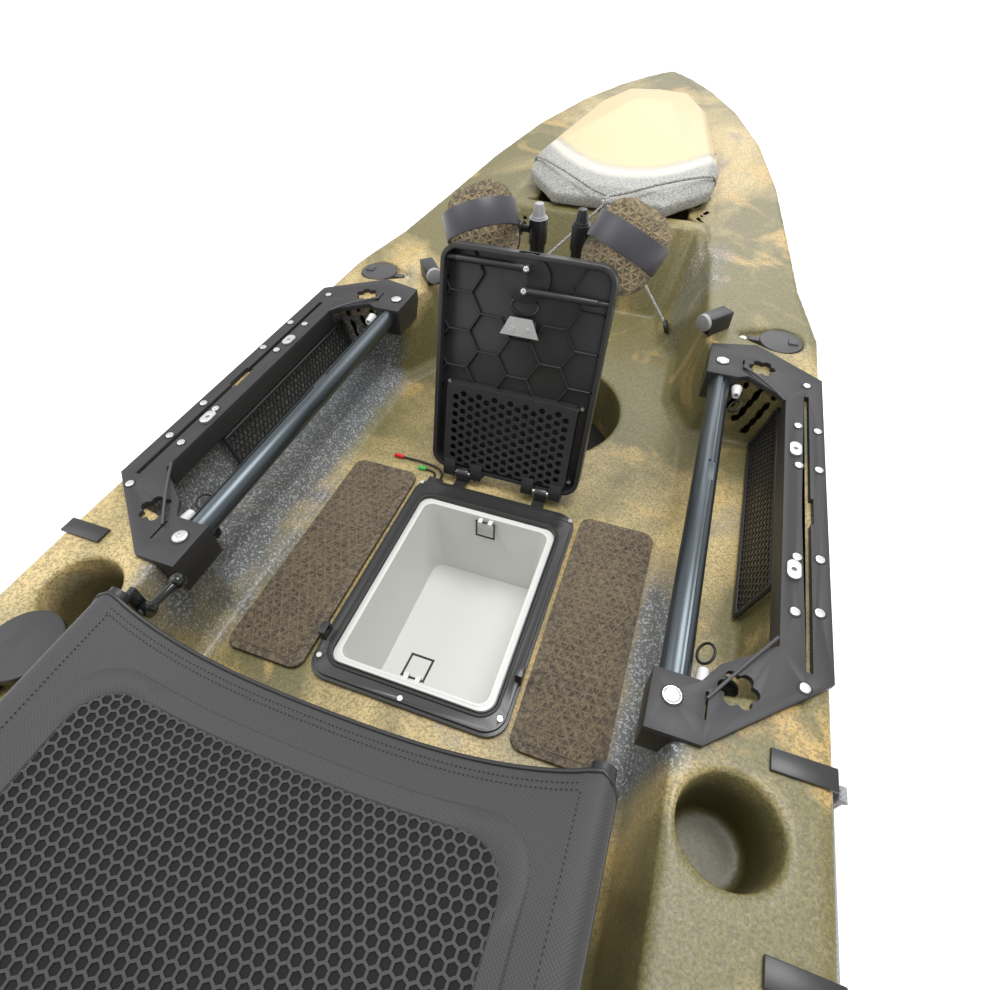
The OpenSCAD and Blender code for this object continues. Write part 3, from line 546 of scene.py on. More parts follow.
# ---------------------------------------------------------------- stage
CAMERA_AT = (0.21588, -0.48065, 0.93386)
CAMERA_AXES = ((0.94227, 0.33481, -0.00387), (-0.24653, 0.70153, 0.66864), (0.22658, -0.62909, 0.74358))


class KAYAK_OT_stage(bpy.types.Operator):
    """Adds the studio floor, the lights and the camera."""
    bl_idname = "kayak.stage"
    bl_label = "Stage"

    def execute(self, context):
        rest_all()
        data = bpy.data.cameras.new("camera")
        camera = new_object("camera", data)
        turn = Matrix([[CAMERA_AXES[c][r] for c in range(3)] for r in range(3)])
        camera.matrix_world = Matrix.Translation(CAMERA_AT) @ turn.to_4x4()
        data.lens, data.sensor_width, data.clip_start, data.clip_end = 20.80, 36.0, 0.02, 100.0
        context.scene.camera = camera
        bpy.ops.mesh.primitive_plane_add(size=24.0, location=(0, 0, -0.0005))
        floor = context.object
        floor.name = "floor"
        floor.data.materials.append(finish_of("studio_floor"))
        world = bpy.data.worlds.new("studio")
        world.use_nodes = True
        world.node_tree.nodes["Background"].inputs[0].default_value = (1.0, 1.0, 1.0, 1.0)
        world.node_tree.nodes["Background"].inputs[1].default_value = 0.90
        context.scene.world = world
        context.scene.view_settings.view_transform = "Standard"
        for name, at, aim, size, power in (
                ("key", (0.5, 0.4, 3.3), (0.0, 0.1, 0.2), 1.4, 70.0),
                ("fill", (-2.4, -0.6, 2.6), (0.0, 0.1, 0.3), 2.2, 36.0),
                ("back", (0.2, 3.4, 2.4), (0.0, 0.6, 0.3), 2.0, 30.0)):
            light = bpy.data.lights.new(name, "AREA")
            light.shape, light.size, light.energy = "SQUARE", size, power
            lamp = new_object(name, light)
            lamp.location = at
            lamp.rotation_euler = (Vector(aim) - Vector(at)).to_track_quat("-Z", "Y").to_euler()
        return {"FINISHED"}


# ---------------------------------------------------------------- battery leads
RED_ROUTE = [(-0.108, 0.134, 0.209), (-0.108, 0.141, 0.209), (-0.110, 0.148, 0.209), (-0.114, 0.154, 0.208),
             (-0.120, 0.159, 0.208), (-0.128, 0.162, 0.208), (-0.138, 0.164, 0.208), (-0.149, 0.165, 0.208),
             (-0.160, 0.166, 0.208), (-0.171, 0.166, 0.208), (-0.182, 0.166, 0.208), (-0.192, 0.166, 0.208)]
GREEN_ROUTE = [(-0.120, 0.134, 0.209), (-0.120, 0.140, 0.209), (-0.122, 0.145, 0.209), (-0.127, 0.149, 0.208),
               (-0.134, 0.151, 0.208), (-0.142, 0.151, 0.208)]


class KAYAK_OT_leads(bpy.types.Operator):
    """Makes the two short battery leads and their connectors."""
    bl_idname = "kayak.leads"
    bl_label = "Battery leads"

    def execute(self, context):
        plugs = []
        for colour, (x, y, z), width in (("red", (-0.192, 0.166, 0.2086), 0.018),
                                         ("green", (-0.142, 0.151, 0.2086), 0.014)):
            shell = barrel(0.0036, width, (x - width / 2, y, z), (0, pi / 2, 0), 24, 0.0008)
            ribs = [barrel(0.0039, 0.0012, (x - 0.004 - 0.0028 * i, y, z), (0, pi / 2, 0), 24, 0.0003)
                    for i in range(3)]
            mouth = barrel(0.0026, 0.002, (x - width + 0.0006, y, z), (0, pi / 2, 0), 20, 0.0003)
            plug = join([shell, *ribs, mouth])
            plugs.append(done(plug, "lead_plug_" + colour, "hull", "lead_" + colour, "lead_cap"))
        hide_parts("lead_connectors")
        for colour, route, plug in (("red", RED_ROUTE, plugs[0]), ("green", GREEN_ROUTE, plugs[1])):
            line = smooth_line(route, 4)
            lead = done(tube("lead", line, 0.002, sides=8), "lead_" + colour, "hull", "lead_jacket", "lead_black",
                        ["power_lead_" + colour])
        return {"FINISHED"}


# ---------------------------------------------------------------- hull
SIDES = (("left", -1), ("right", 1))
HULL_NODES = ["hull_bottom", "hull_stern_deck", "hull_mid_deck", "hull_bow_deck"]


class KAYAK_OT_hull(bpy.types.Operator):
    """Makes the moulded hull in one skin, with soft edges."""
    bl_idname = "kayak.hull"
    bl_label = "Hull"

    def execute(self, context):
        parts = [cad_copy(node, 0) for node in HULL_NODES]
        # a tub round the liner closes the space inside the hull
        bpy.ops.mesh.primitive_cube_add(size=1.0, location=(0, -0.070, 0.120))
        tub = context.object
        tub.scale = (0.266, 0.346, 0.160)
        apply_place(True, False)
        set_mode("EDIT")
        bm = bmesh.from_edit_mesh(tub.data)
        bm.faces.ensure_lookup_table()
        for face in bm.faces:
            face.select = face.normal.z > 0.9
        bmesh.update_edit_mesh(tub.data)
        bpy.ops.mesh.inset(thickness=0.011, depth=0.0)
        bpy.ops.mesh.extrude_region_move(TRANSFORM_OT_translate={"value": (0, 0, -0.150)})
        set_mode("OBJECT")
        parts.append(tub)
        hull = join(parts)
        hull.data.remesh_voxel_size = looks().grain
        hull.data.remesh_voxel_adaptivity = 0.0
        alone(hull)
        bpy.ops.object.voxel_remesh()
        # only the outer skin is kept
        set_mode("EDIT")
        bpy.ops.mesh.select_all(action="DESELECT")
        set_mode("OBJECT")
        co = np.empty(len(hull.data.vertices) * 3, np.float32)
        hull.data.vertices.foreach_get("co", co)
        bow = int(np.argmax(co.reshape(-1, 3)[:, 1]))
        hull.data.vertices[bow].select = True
        set_mode("EDIT")
        bpy.ops.mesh.select_mode(type="VERT")
        bpy.ops.mesh.select_linked()
        bpy.ops.mesh.select_all(action="INVERT")
        bpy.ops.mesh.delete(type="VERT")
        set_mode("OBJECT")
        modifier(hull, "SMOOTH", factor=0.5, iterations=6)
        modifier(hull, "DECIMATE", ratio=looks().hull_share)
        soft_skin(hull, "hull_shell", "hull", "hull_shell", "hull", HULL_NODES)
        return {"FINISHED"}


# ---------------------------------------------------------------- side gear
def hex_panel(width, height, pitch, wall, thick, outline=None):
    """A flat panel in XY full of hexagonal holes, centred on the origin, as one sheet with thickness."""
    bm = bmesh.new()
    side = pitch / sqrt(3)
    rows, columns = int(height / (side * 1.5)) + 2, int(width / pitch) + 2
    turns = [k * pi / 3 for k in range(6)]
    for row in range(-rows // 2, rows // 2 + 1):
        for c in range(-columns // 2, columns // 2 + 1):
            x, y = (c + 0.5 * (row % 2)) * pitch, row * side * 1.5
            if abs(x) > width / 2 or abs(y) > height / 2 or (outline and not outline(x, y)):
                continue
            outer, inner = ([bm.verts.new((x + r * sin(t), y + r * cos(t), 0)) for t in turns]
                            for r in (side, side - wall))
            for k in range(6):
                bm.faces.new((outer[k], inner[k], inner[(k + 1) % 6], outer[(k + 1) % 6]))
    bmesh.ops.remove_doubles(bm, verts=bm.verts, dist=pitch * 0.05)
    bmesh.ops.recalc_face_normals(bm, faces=bm.faces)
    mesh = bpy.data.meshes.new("panel")
    bm.to_mesh(mesh)
    bm.free()
    obj = new_object("panel", mesh)
    modifier(obj, "SOLIDIFY", thickness=thick, offset=0.0)
    return obj


def set_in(obj, origin, x_axis, y_axis):
    """Moves a mesh drawn in XY so that its X and Y lie along the given directions."""
    x, y = Vector(x_axis).normalized(), Vector(y_axis).normalized()
    turn = Matrix((x, y, x.cross(y))).transposed().to_4x4()
    obj.data.transform(Matrix.Translation(origin) @ turn)
    obj.data.update()
    return obj


def pan_screw(at, axis, radius, height, dark=0.45):
    """A screw head with a recess, as a lathe shape pointing along axis."""
    profile = [(0.0, height * 0.45), (radius * dark * 0.8, height * 0.45), (radius * dark, height * 0.95),
               (radius * 0.72, height), (radius * 0.92, height * 0.72), (radius, height * 0.3),
               (radius, -height * 0.6)]
    count = 20
    verts, faces = [], []
    for r, z in profile:
        turns = [2 * pi * k / count for k in range(count)]
        verts += [(r * cos(t), r * sin(t), z) for t in turns]
    for i in range(1, len(profile) - 1):
        for k in range(count):
            n = (k + 1) % count
            faces.append((i * count + k, (i + 1) * count + k, (i + 1) * count + n, i * count + n))
    faces.append(tuple(count + k for k in range(count)))
    faces.append(tuple((len(profile) - 1) * count + k for k in reversed(range(count))))
    obj = from_mesh("screw", verts, faces)
    outward(obj)
    turn = Vector((0, 0, 1)).rotation_difference(Vector(axis).normalized()).to_matrix().to_4x4()
    obj.data.transform(Matrix.Translation(at) @ turn)
    return obj


SCREWS = [(0.435, 0.381), (0.449, 0.271), (0.422, 0.275), (0.449, 0.187), (0.423, 0.188), (0.447, 0.027),
          (0.421, 0.022), (0.445, -0.051), (0.419, -0.058), (0.429, -0.148)]
RAIL_SCREWS = [(0.303, 0.408), (0.303, -0.200)]
PLATE_TOP = 0.370


class KAYAK_OT_side_gear(bpy.types.Operator):
    """Makes the side plates, the gear rails, their screws and anchors, the nets and the rod keepers."""
    bl_idname = "kayak.side_gear"
    bl_label = "Side gear"

    def execute(self, context):
        softened("side_plates", "hull", "plate_charcoal", "side_plate", 0.0009)
        softened("rail_brackets", "hull", "satin_black", "rail_block", 0.0035, 3)
        softened("gear_rails", "hull", "rail_anodised", "gear_rail", 0.0008)
        softened("line_anchors", "hull", "cast_alloy", "anchor", 0.0009)
        softened("tube_plugs", "hull", "gloss_black", "gloss_black", 0.004, 4)
        softened("bungee_eyes", "hull", "pale_plastic", "white_plastic", 0.0008)
        heads = []
        for side in (-1, 1):
            for spots, lift, radius, height in ((SCREWS, 0.0003, 0.0058, 0.0018),
                                                (RAIL_SCREWS, 0.0004, 0.0092, 0.0026)):
                heads += [pan_screw((side * x, y, PLATE_TOP + lift), (0, 0, 1), radius, height) for x, y in spots]
        done(join(heads), "plate_screw_heads", "hull", "bright_steel", "steel")
        # painted shade: flat near-black discs round the screw heads stand for their shaded wells
        cups = [barrel(r, 0.0008, (side * x, y, PLATE_TOP + 0.0002), sides=28, bevel=0.0002)
                for side in (-1, 1) for spots, r in ((SCREWS, 0.0074), (RAIL_SCREWS, 0.0115)) for x, y in spots]
        done(join(cups), "plate_screw_well_shade", "hull", "seal_rubber", "rail_block")
        nets, bars = [], []
        for side in (-1, 1):
            low, high = Vector((side * 0.388, 0.183, 0.242)), Vector((side * 0.407, 0.183, 0.330))
            up = (high - low).normalized()
            rise = (high - low).length
            net = hex_panel(0.352, rise - 0.012, looks().hex_pitch, 0.0011, 0.0022, lambda x, y: x > -0.176)
            set_in(net, (low + high) / 2, (0, 1, 0), up)
            nets.append(net)
            for ends in (((0.002, 0.0), (0.002, 1.0)), ((0.364, 0.0), (0.364, 1.0)),
                         ((0.002, 0.02), (0.364, 0.02)), ((0.002, 0.98), (0.364, 0.98))):
                p, q = (Vector((low.x + (high.x - low.x) * t, y, low.z + (high.z - low.z) * t)) for y, t in ends)
                bars.append(tube("bar", [p, q], 0.0036, sides=8))
            for y, t in ((0.004, 0.12), (0.362, 0.12), (0.362, 0.88)):
                spot = low.lerp(high, t)
                bars.append(pan_screw((spot.x - side * 0.0035, y, spot.z), (-side, 0, 0.2), 0.004, 0.002))
        done(join(nets), "side_nets_mesh", "hull", "satin_black", "net", ["side_nets"], 30)
        done(join(bars), "side_net_bars", "hull", "satin_black", "net")
        straps, loops = [], []
        for side in (-1, 1):
            for y0, y1, way in ((-0.214, -0.104, 1), (0.422, 0.336, -1)):
                a = Vector((side * 0.3365, y0 + 0.022 * way, PLATE_TOP + 0.0016))
                b = Vector((side * 0.402, y1 + 0.006 * way, PLATE_TOP + 0.0016))
                line = [a.lerp(b, k / 12) + Vector((0, 0, 0.0035 * sin(pi * k / 12))) for k in range(13)]
                straps.append(tube("strap", line, 0.0019, sides=8))
            for y, way in ((0.352, -1), (-0.150, 1)):
                ring = [Vector((side * 0.336 + 0.008 * cos(t) * side, y + way * (0.024 + 0.013 * sin(t)),
                                0.343 + 0.007 * cos(t))) for t in [2 * pi * k / 20 for k in range(20)]]
                loops.append(tube("loop", ring, 0.0016, closed=True, sides=8))
        done(join(straps), "rod_keeper_straps", "hull", "soft_rubber", "strap", ["rod_straps"])
        done(join(loops), "eye_loops", "hull", "seal_rubber", "strap")
        return {"FINISHED"}


# ---------------------------------------------------------------- centre hatch
HINGE_Y, HINGE_Z, LID_OPEN = 0.150, 0.224, 106.8
KNOB_Y, PIN_REACH, ROD_Z = -0.180, 0.015, 0.231
DISC_UNDER, LID_FLOOR = 0.2368, 0.2435


class KAYAK_OT_hatch(bpy.types.Operator):
    """Makes the hatch frame, its lid with the pocket, knob and rods, and the liner."""
    bl_idname = "kayak.hatch"
    bl_label = "Centre hatch"

    def execute(self, context):
        softened("hatch_frame", "hull", "hatch_plastic", "hatch_black", 0.0014)
        softened("hatch_seal", "hull", "seal_rubber", "seal_rubber", 0.0008)
        self.lid()
        softened("lid_pocket", "lid", "hatch_plastic", "hatch_black", 0.0005, 1)
        # the knob's two pins end inside the ends of the rods, so only their stubs are made
        knob = cad_copy("latch_knob")
        shut = lid_turn().inverted()
        for v in knob.data.vertices:
            p = shut @ v.co
            if p.z < DISC_UNDER - 0.0003:
                v.co = lid_turn() @ Vector((p.x, p.y, DISC_UNDER))
        bevelled(knob, 0.0008)
        done(knob, "latch_knob_moulded", "latch_knob", "satin_black", "black_plastic", ["latch_knob"])
        inward = lid_turn().to_3x3() @ Vector((0, 0, -1))
        for side, sign in SIDES:
            y, z = KNOB_Y + sign * PIN_REACH, ROD_Z
            thick = barrel(0.0052, 0.104, (sign * 0.054, y, z), (0, pi / 2, 0), 24, 0.001)
            thin = barrel(0.0039, 0.020, (sign * 0.114, y, z), (0, pi / 2, 0), 24, 0.0006)
            cap = barrel(0.0066, 0.0084, (0, y, z - 0.0005), sides=28, bevel=0.0016)
            rod = open_up(join([thick, thin, cap]))
            body = "latch_rod_" + side
            done(rod, body + "_moulded", body, "satin_black", "black_plastic", [body])
            head = pan_screw(lid_turn() @ Vector((0, y, z - 0.0048)), inward, 0.0044, 0.0016)
            done(head, "rod_screw_" + side, body, "bright_steel", "steel")
        paint("line_cutter", "cast_alloy")
        softened("hatch_liner", "liner", "liner_plastic", "liner", 0.003, 3)
        paint("hinge_pins", "bright_steel")
        paint("lid_screws", "bright_steel")
        return {"FINISHED"}

    def lid(self):
        """The lid without its short ribs, then a plate with a full honeycomb of ribs, a boss and a finger pull."""
        shut = lid_turn().inverted()
        lid = cad_copy("hatch_lid")
        alone(lid)
        set_mode("EDIT")
        bpy.ops.mesh.select_all(action="DESELECT")
        set_mode("OBJECT")
        for v in lid.data.vertices:
            p = shut @ v.co
            v.select = 0.2375 < p.z < LID_FLOOR and abs(p.x) < 0.1215 and -0.2085 < p.y < 0.138
        set_mode("EDIT")
        bpy.ops.mesh.delete(type="VERT")
        set_mode("OBJECT")
        bevelled(lid, 0.0012, miter_outer="MITER_ARC")
        done(lid, "hatch_lid_moulded", "lid", "hatch_plastic", "hatch_black", ["hatch_lid"])
        plate = block((0.2436, 0.3476, 0.0014), (0, -0.035, 0.2443), bevel=0.0002)
        hole = barrel(0.0123, 0.02, (0, KNOB_Y, 0.244), sides=40, bevel=0)
        modifier(plate, "BOOLEAN", operation="DIFFERENCE", object=hole)
        bpy.data.objects.remove(hole)
        parts = [plate]
        for p, q in honeycomb(0.0333, (0, -0.177), (-0.1215, -0.2085), (0.1215, -0.0095)):
            dx, dy = q[0] - p[0], q[1] - p[1]
            near = min(hypot(p[0] + dx * t / 8, p[1] + dy * t / 8 - KNOB_Y) for t in range(9))
            if near < 0.0365:
                continue
            middle = ((p[0] + q[0]) / 2, (p[1] + q[1]) / 2, 0.2409)
            size = (hypot(dx, dy) + 0.0018, 0.0022, 0.0058)
            parts.append(block(size, middle, (0, 0, atan2(dy, dx)), 0.0004, 1))
        parts.append(block((0.046, 0.022, 0.0134), (0, -0.112, 0.2373), bevel=0.0012))
        rest_all()
        bpy.ops.mesh.primitive_torus_add(major_radius=0.0165, minor_radius=0.0019, location=(0, -0.1405, 0.2424),
                                         major_segments=48, minor_segments=10)
        pull = bpy.context.object
        pull.scale = (1.25, 0.72, 1.0)
        apply_place(False, False)
        parts.append(pull)
        done(open_up(join(parts)), "lid_honeycomb", "lid", "hatch_plastic", "hatch_black")


def lid_turn():
    """From the lid as it lies shut to the lid as it stands open."""
    return Matrix.Translation((0, HINGE_Y, HINGE_Z)) @ Matrix.Rotation(radians(-LID_OPEN), 4, "X") @ \
        Matrix.Translation((0, -HINGE_Y, -HINGE_Z))


def open_up(obj):
    """Turns a piece that was made on the shut lid to where the open lid holds it."""
    alone(obj)
    apply_place()
    obj.data.transform(lid_turn())
    return obj


def honeycomb(radius, origin, low, high):
    """The edges of a grid of hexagons with their points along X, cut off at a rectangle."""
    edges = {}
    tall = radius * sqrt(3)
    for c in range(-3, 4):
        for r in range(-6, 7):
            cx, cy = origin[0] + c * radius * 1.5, origin[1] + (r + 0.5 * (c % 2)) * tall
            turns = [k * pi / 3 for k in range(6)]
            spots = [(cx + radius * cos(t), cy + radius * sin(t)) for t in turns]
            for p, q in zip(spots, spots[1:] + spots[:1]):
                edges[tuple(sorted((tuple(round(v, 5) for v in p), tuple(round(v, 5) for v in q))))] = True
    kept = []
    for p, q in edges:
        begin, end = 0.0, 1.0
        for i in (0, 1):
            step = q[i] - p[i]
            if abs(step) < 1e-9:
                if not low[i] <= p[i] <= high[i]:
                    end = -1.0
                continue
            a, b = sorted(((low[i] - p[i]) / step, (high[i] - p[i]) / step))
            begin, end = max(begin, a), min(end, b)
        if end - begin > 0.02:
            kept.append(tuple((p[0] + (q[0] - p[0]) * t, p[1] + (q[1] - p[1]) * t) for t in (begin, end)))
    return kept


def lattice(half_w, half_l, side, sink, foot, inside):
    """Three-sided hollows on a triangular grid in XY: ridges at 0, hollows down to sink, sides down to foot."""
    height = side * sqrt(3) / 2
    verts, faces = [], []
    for r in range(-int(half_l / height) - 2, int(half_l / height) + 2):
        for c in range(-int(half_w / side) - 3, int(half_w / side) + 3):
            x0, y0 = c * side + (r % 2) * side / 2, r * height
            for corners in (((x0, y0), (x0 + side, y0), (x0 + side / 2, y0 + height)),
                            ((x0 + side, y0), (x0 + side * 1.5, y0 + height), (x0 + side / 2, y0 + height))):
                cx, cy = sum(p[0] for p in corners) / 3, sum(p[1] for p in corners) / 3
                if not all(inside(cx + (x - cx) * 0.9, cy + (y - cy) * 0.9) for x, y in corners):
                    continue
                n = len(verts)
                for share, z in ((0.995, -foot), (0.995, -0.0002), (0.90, 0.0), (0.30, -sink)):
                    verts += [(cx + (x - cx) * share, cy + (y - cy) * share, z) for x, y in corners]
                faces += [(n + 2, n + 1, n), (n + 9, n + 10, n + 11)]
                for level in (0, 3, 6):
                    a = n + level
                    faces += [(a + k, a + (k + 1) % 3, a + 3 + (k + 1) % 3, a + 3 + k) for k in range(3)]
    return verts, faces


def embossed(name, verts, faces):
    """The mesh of a lattice, with its ridge attribute: one on the ridges and zero in the hollows, for a painted
    highlight on the ridges.
    """
    obj = from_mesh(name, verts, faces)
    ridge = obj.data.attributes.new("ridge", "FLOAT", "POINT")
    ridge.data.foreach_set("value", [1.0 if i % 12 in range(3, 9) else 0.0 for i in range(len(verts))])
    return obj


def in_round_box(x, y, half_w, half_l, radius):
    dx, dy = max(abs(x) - half_w + radius, 0.0), max(abs(y) - half_l + radius, 0.0)
    return abs(x) <= half_w and abs(y) <= half_l and dx * dx + dy * dy <= radius * radius


class KAYAK_OT_pads(bpy.types.Operator):
    """Makes the two embossed foam deck pads."""
    bl_idname = "kayak.pads"
    bl_label = "Deck pads"

    def execute(self, context):
        pad = cad_copy("deck_pads")
        bevelled(pad, 0.0035, 3, 40.0)
        low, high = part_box("deck_pads")
        middle_y, half_l, half_w = (low.y + high.y) / 2, (high.y - low.y) / 2 - 0.009, (high.x - 0.147) / 2 - 0.009
        middle_x = (high.x + 0.147) / 2
        for co in (v.co for v in pad.data.vertices):
            if co.z > high.z - 0.0005:
                co.z -= 0.0014
        bosses = [pad]
        for side in (-1, 1):
            verts, faces = lattice(half_w, half_l, looks().lattice, 0.0016, 0.0024,
                                   lambda x, y: in_round_box(x, y, half_w, half_l, 0.02))
            boss = embossed("boss", [(x + side * middle_x, y + middle_y, z + high.z) for x, y, z in verts], faces)
            bosses.append(boss)
        done(join(bosses), "deck_pads_foam", "hull", "deck_foam", "deck_pad", ["deck_pads"], 25)
        return {"FINISHED"}


# ---------------------------------------------------------------- pedal drive
PAD_SPLAY, PEDAL_LEAN = 22.0, 30.0


class KAYAK_OT_drive(bpy.types.Operator):
    """Makes the drive, its cranks and the pedals with their foam and straps."""
    bl_idname = "kayak.drive"
    bl_label = "Pedal drive"

    def execute(self, context):
        softened("drive_base", "hull", "satin_black", "black_plastic", 0.0015)
        softened("drive_housing", "hull", "satin_black", "grey_plastic", 0.0015)
        for side, sign in SIDES:
            arm = softened("crank_arm_" + side, "crank_" + side, ["satin_black", "grey_plastic"],
                           "black_plastic", 0.0012)
            if side == "left":
                for p in arm.data.polygons:
                    p.material_index = int(p.center.z > 0.545)
            body = "pedal_" + side
            pad = cad_copy(body)
            # the pad's own plane comes from its largest face
            big = max(pad.data.polygons, key=lambda p: p.area if p.normal.z > 0 else 0.0)
            normal, centre = big.normal.copy(), big.center.copy()
            lean, splay = radians(PEDAL_LEAN), radians(PAD_SPLAY) * sign
            across = Vector((cos(splay), -sin(splay) * sin(lean), -sin(splay) * cos(lean)))
            along = normal.cross(across).normalized()
            if along.z < 0:
                along = -along
            face = [pad.data.vertices[i].co for i in big.vertices]
            centre = sum(face, Vector()) / len(face)
            span = [(p - centre) for p in face]
            us, vs = [p.dot(across) for p in span], [p.dot(along) for p in span]
            centre += across * (max(us) + min(us)) / 2 + along * (max(vs) + min(vs)) / 2
            half_w, half_l = (max(us) - min(us)) / 2, (max(vs) - min(vs)) / 2
            bevelled(pad, 0.0016, angle=40.0)
            verts, faces = lattice(half_w, half_l, looks().lattice, 0.0012, 0.0022,
                                   lambda x, y: in_round_box(x, y, half_w - 0.004, half_l - 0.004, 0.036))
            boss = embossed("boss", [(x, y, z + 0.0009) for x, y, z in verts], faces)
            frame_x = across if across.cross(along).dot(normal) > 0 else -across
            set_in(boss, centre, frame_x, along)
            piece = done(join([pad, boss]), body + "_foam", body, ["satin_black", "pedal_foam"], "pedal_pad",
                         [body], 25)
            top = centre.dot(normal)
            for p in piece.data.polygons:
                spot = Vector(p.center)
                off = spot - centre
                face_on = p.normal.dot(normal) > 0.25 and spot.dot(normal) > top - 0.002
                inside = in_round_box(off.dot(across), off.dot(along), half_w - 0.003, half_l - 0.003, 0.037)
                p.material_index = int(face_on and inside)
            softened("pedal_strap_" + side, body, "strap_rubber", "pedal_strap", 0.0011, 2, angle=50)
        softened("fin_front", "fin_front", "fin_rubber", "fin", 0.002)
        softened("fin_rear", "fin_rear", "fin_rubber", "fin", 0.002)
        return {"FINISHED"}


# ---------------------------------------------------------------- seat
def sheet_grid(name, columns, rows, place):
    """An open grid of quads, place(u, v) giving each point for u and v from 0 to 1."""
    verts = [place(c / columns, r / rows) for r in range(rows + 1) for c in range(columns + 1)]
    wide = columns + 1
    faces = [(r * wide + c, r * wide + c + 1, (r + 1) * wide + c + 1, (r + 1) * wide + c)
             for r in range(rows) for c in range(columns)]
    obj = from_mesh(name, verts, faces)
    uv = obj.data.uv_layers.new(name="UVMap")
    for loop in obj.data.loops:
        i = loop.vertex_index
        uv.data[loop.index].uv = ((i % wide) / columns, (i // wide) / rows)
    return obj


TUBE_X, TUBE_Z, WRAP = 0.249, 0.436, 0.0142
BACK_AXIS = (-0.758, 0.460)


def seat_point(u, v):
    """The sling over the seat's side tubes: u runs from port to starboard, v from the front edge back."""
    s = 2 * u - 1
    run = abs(s) * 0.276
    y = -0.319 - 0.024 * (1 - min(1.0, run / TUBE_X) ** 3) - v * 0.412 + 0.024 * v * (1 - s * s)
    if run <= TUBE_X:
        share = 1 - (run / TUBE_X) ** 2
        sag = share * (looks().sling_sag + 0.033 * exp(-v / 0.16))
        return (copysign(run, s), y, TUBE_Z + WRAP - sag)
    turn = (run - TUBE_X) / WRAP
    y -= 0.010 * max(0.0, 1 - v / 0.08) * turn
    return (copysign(TUBE_X + WRAP * sin(turn), s), y, TUBE_Z + WRAP * cos(turn))


def back_point(u, v):
    """The backrest's sling over its two side tubes: v runs up from the seat."""
    s = 2 * u - 1
    up = 0.045 + v * 0.392
    over = max(0.0, abs(s) - 0.92) / 0.08
    out = 0.0125 - over * over * 0.016 - (1 - min(1.0, abs(s) / 0.92) ** 2) * 0.022
    lean = radians(12)
    return (s * 0.2370, BACK_AXIS[0] - up * sin(lean) + out * cos(lean),
            BACK_AXIS[1] + up * cos(lean) + out * sin(lean))


def drop(obj, pinned, cap, strength=0.35):
    """Lets a stretched sheet settle under its own weight for 20 frames, held at its pinned points."""
    rest = [v.co.copy() for v in obj.data.vertices]
    group = obj.vertex_groups.new(name="held")
    group.add(pinned, 1.0, "REPLACE")
    scene = bpy.context.scene
    alone(obj)
    cloth = obj.modifiers.new("Cloth", "CLOTH")
    cloth.settings.quality = 6
    cloth.settings.mass = strength
    cloth.settings.tension_stiffness = cloth.settings.compression_stiffness = 60
    cloth.settings.bending_stiffness = 4
    cloth.settings.vertex_group_mass = "held"
    cloth.point_cache.frame_start, cloth.point_cache.frame_end = 1, 20
    for f in range(1, 21):
        scene.frame_set(f)
    bpy.ops.object.modifier_apply(modifier=cloth.name)
    scene.frame_set(1)
    for v, at in zip(obj.data.vertices, rest):
        move = v.co - at
        if move.length > cap:
            v.co = at + move.normalized() * cap
    obj.vertex_groups.clear()


